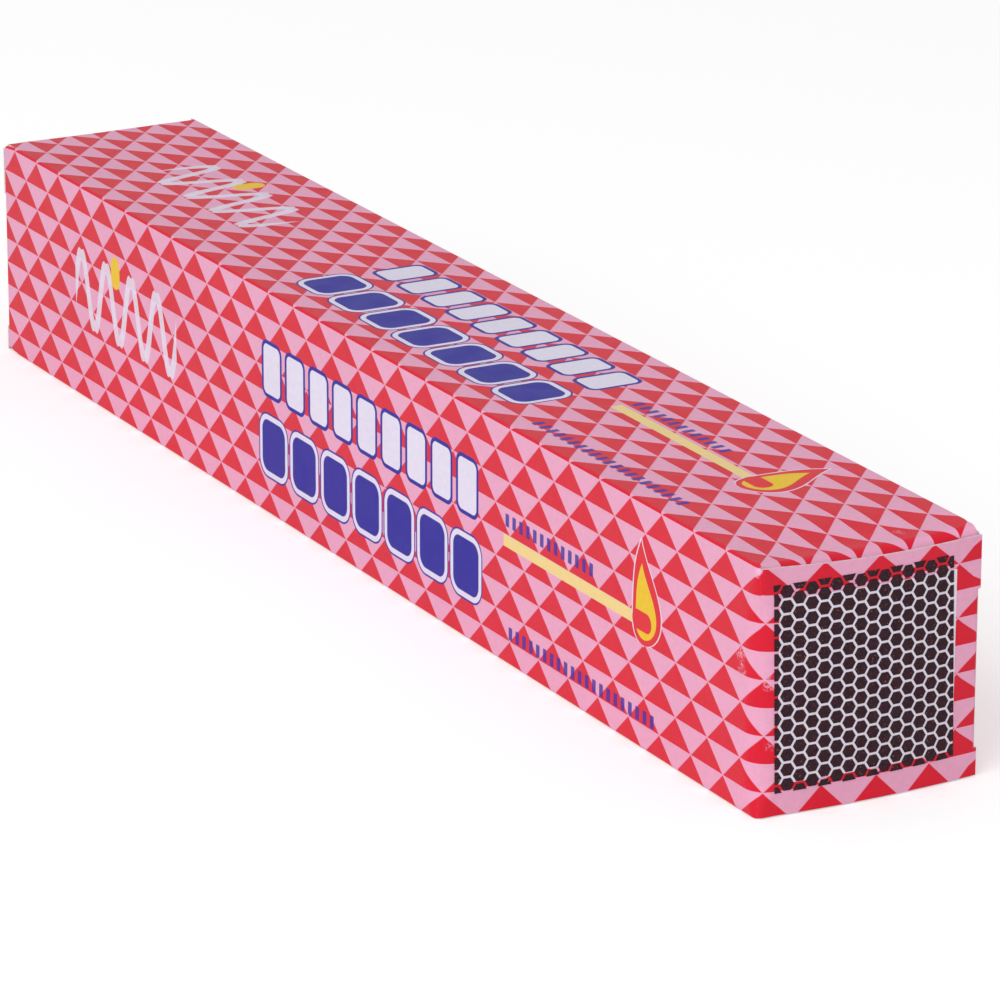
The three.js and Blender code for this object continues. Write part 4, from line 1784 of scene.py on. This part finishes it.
@dataclass
class Matches:
    """The pile of long matches: square splints, each with a dipped head at its far end."""

    wood: bpy.types.Material
    head: bpy.types.Material
    count: int = 40
    side: float = 3.6 * MM
    chamfer: float = 0.25 * MM
    head_width: float = 4.4 * MM
    head_length: float = 9 * MM
    dip_length: float = 4 * MM
    dip_thickness: float = 0.15 * MM
    tip_cover: float = 5.4 * MM
    bulb_segments: int = 20
    bulb_rings: int = 14

    def build(self) -> None:
        """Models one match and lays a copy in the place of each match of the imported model."""
        names = [f"match_{number:02d}" for number in range(1, self.count + 1)]
        tail, tip = self.ends(names[0])
        pattern = self.match((tip - tail).length)
        for name in names:
            tail, tip = self.ends(name)
            match = bpy.data.objects.new(f"{name}_splint", pattern.data.copy())
            match.data.name = match.name
            bpy.context.collection.objects.link(match)
            turned = (tip - tail).to_track_quat("Y", "Z").to_matrix().to_4x4()
            match.data.transform(Matrix.Translation(tail) @ turned)
            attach(match, "box")
            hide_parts(name)
        bpy.data.objects.remove(pattern)
        log.info("matches: %d", len(names))

    def ends(self, name: str) -> Tuple[Vector, Vector]:
        """Middle of a packed match's tail and the tip of its head.

        Args:
            name: Name of the match.

        Returns:
            The middle of the tail, and the tip.
        """
        points = [Vector(vertex.co) for vertex in bpy.data.objects[name].data.vertices]
        low = min(point.y for point in points)
        high = max(point.y for point in points)
        tails = [point for point in points if point.y < low + self.chamfer]
        tips = [point for point in points if point.y > high - TOUCH]
        return sum(tails, Vector()) / len(tails), sum(tips, Vector()) / len(tips)

    def match(self, length: float) -> Object:
        """One match from its tail at the origin to its tip along Y.

        Args:
            length: Length of the match.

        Returns:
            The match's object.
        """
        neck = length - self.tip_cover
        splint = add_shape(
            "splint", bpy.ops.mesh.primitive_cube_add, (self.side, neck, self.side),
            size=1, location=(0, neck / 2, 0))
        start_edit(splint)
        pick_edges(splint, lambda a, b: abs(a.y - b.y) > length / 2)
        bpy.ops.mesh.bevel(offset=self.chamfer, segments=2, affect="EDGES")
        coat = length - self.head_length - self.dip_length
        cut(ALONG * coat, ALONG)
        end_edit()
        grow = 1 + 2 * self.dip_thickness / self.side
        for vertex in splint.data.vertices:
            if vertex.co.y > coat + TOUCH:
                vertex.co.x *= grow
                vertex.co.z *= grow
        bulb = add_shape(
            "bulb", bpy.ops.mesh.primitive_uv_sphere_add,
            (self.head_width, self.head_width, self.head_length),
            segments=self.bulb_segments, ring_count=self.bulb_rings, radius=0.5,
            rotation=(-math.pi / 2, 0, 0), location=(0, length - self.head_length / 2, 0))
        for piece in (splint, bulb):
            for material in (self.wood, self.head):
                piece.data.materials.append(material)
            for face in piece.data.polygons:
                face.material_index = int(face.center.y > coat)
        splint.select_set(True)
        bpy.context.view_layer.objects.active = splint
        bpy.ops.object.join()
        shade(splint)
        return splint


@dataclass
class Studio:
    """Pale floor, soft light and the camera of the photograph."""

    camera_place: Vector = field(default_factory=lambda: Vector((-0.47255, -0.88990, 0.34402)))
    turn: float = math.radians(28.57)
    tilt: float = math.radians(18.46)
    roll: float = math.radians(0.12)
    focal_pixels: float = 5901.2
    image_pixels: float = 1000.0
    sensor: float = 36.0
    floor_size: float = 6.0
    floor_grey: float = 0.9
    floor_glow: float = 0.35
    ambient: float = 0.5

    def build(self) -> None:
        """Sets up camera, lights, floor and background."""
        self.camera()
        self.floor()
        self.background()
        self.lamp("key", place=Vector((-1.5, -0.7, 1.5)), size=1.6, power=20.0)
        self.lamp("fill", place=Vector((-1.2, -1.9, 0.9)), size=1.6, power=5.5)
        bpy.context.scene.view_settings.view_transform = "Standard"

    def camera(self) -> None:
        """Places the camera where the photograph was taken from."""
        data = bpy.data.cameras.new("camera")
        data.sensor_width = self.sensor
        data.lens = self.focal_pixels / self.image_pixels * self.sensor
        data.clip_end = 20.0
        camera = bpy.data.objects.new("camera", data)
        bpy.context.collection.objects.link(camera)
        level = Euler((math.pi / 2 - self.tilt, 0, -self.turn)).to_matrix()
        turned = level @ Matrix.Rotation(self.roll, 3, "Z")
        camera.matrix_world = Matrix.Translation(self.camera_place) @ turned.to_4x4()
        bpy.context.scene.camera = camera

    def lamp(self, name: str, place: Vector, size: float, power: float) -> None:
        """Adds a soft square lamp that looks at the middle of the box.

        Args:
            name: Its name.
            place: Place of the lamp.
            size: Side of the lamp.
            power: Power in watts.
        """
        data = bpy.data.lights.new(name, "AREA")
        data.size = size
        data.energy = power
        lamp = bpy.data.objects.new(name, data)
        bpy.context.collection.objects.link(lamp)
        lamp.location = place
        lamp.rotation_euler = (Vector((0, 0, SIZE.height / 2)) - place).to_track_quat("-Z", "Y").to_euler()

    def floor(self) -> None:
        """Lays the floor, which the camera sees as white except for the soft shadow."""
        floor = add_shape("floor", bpy.ops.mesh.primitive_plane_add, (1, 1, 1), size=self.floor_size)
        material, graph, shader = new_material("floor_white")
        seen = graph.add("ShaderNodeLightPath").outputs["Is Camera Ray"]
        for name, value in (
                ("Base Color", (self.floor_grey, self.floor_grey, self.floor_grey, 1)), ("Roughness", 1.0),
                ("Specular IOR Level", 0.0), ("Emission Color", (1, 1, 1, 1)),
                ("Emission Strength", graph.math("MULTIPLY", seen, self.floor_glow))):
            graph.feed(shader.inputs[name], value)
        floor.data.materials.append(material)

    def background(self) -> None:
        """Lights the studio evenly and shows the camera a white background."""
        world = bpy.data.worlds.new("studio")
        world.use_nodes = True
        bpy.context.scene.world = world
        graph = Graph(world.node_tree)
        path = graph.add("ShaderNodeLightPath")
        seen = graph.math("MAXIMUM", path.outputs["Is Camera Ray"], path.outputs["Is Transmission Ray"])
        back = world.node_tree.nodes["Background"]
        back.inputs["Color"].default_value = (1, 1, 1, 1)
        graph.feed(back.inputs["Strength"], graph.ramp(seen, 0.0, 1.0, self.ambient, 1.0))


def main() -> None:
    """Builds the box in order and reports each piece."""
    logging.basicConfig(level=logging.INFO, format="%(name)s %(message)s")
    Studio().build()
    printed = PrintedCard(TriangleCheck().build(), Artwork().build()).build()
    grain = grain_group()
    card = Card(printed, RAW_INSIDE.build(grain), CUT_EDGE.build(grain))
    Carton(card).build()
    for end in End:
        Lid(end, card).build()
    Striker(STRIKER_COAT.build(grain)).build()
    Matches(SPLINT_WOOD.build(grain), MATCH_HEAD.build(grain)).build()


if __name__ == "__main__":
    main()
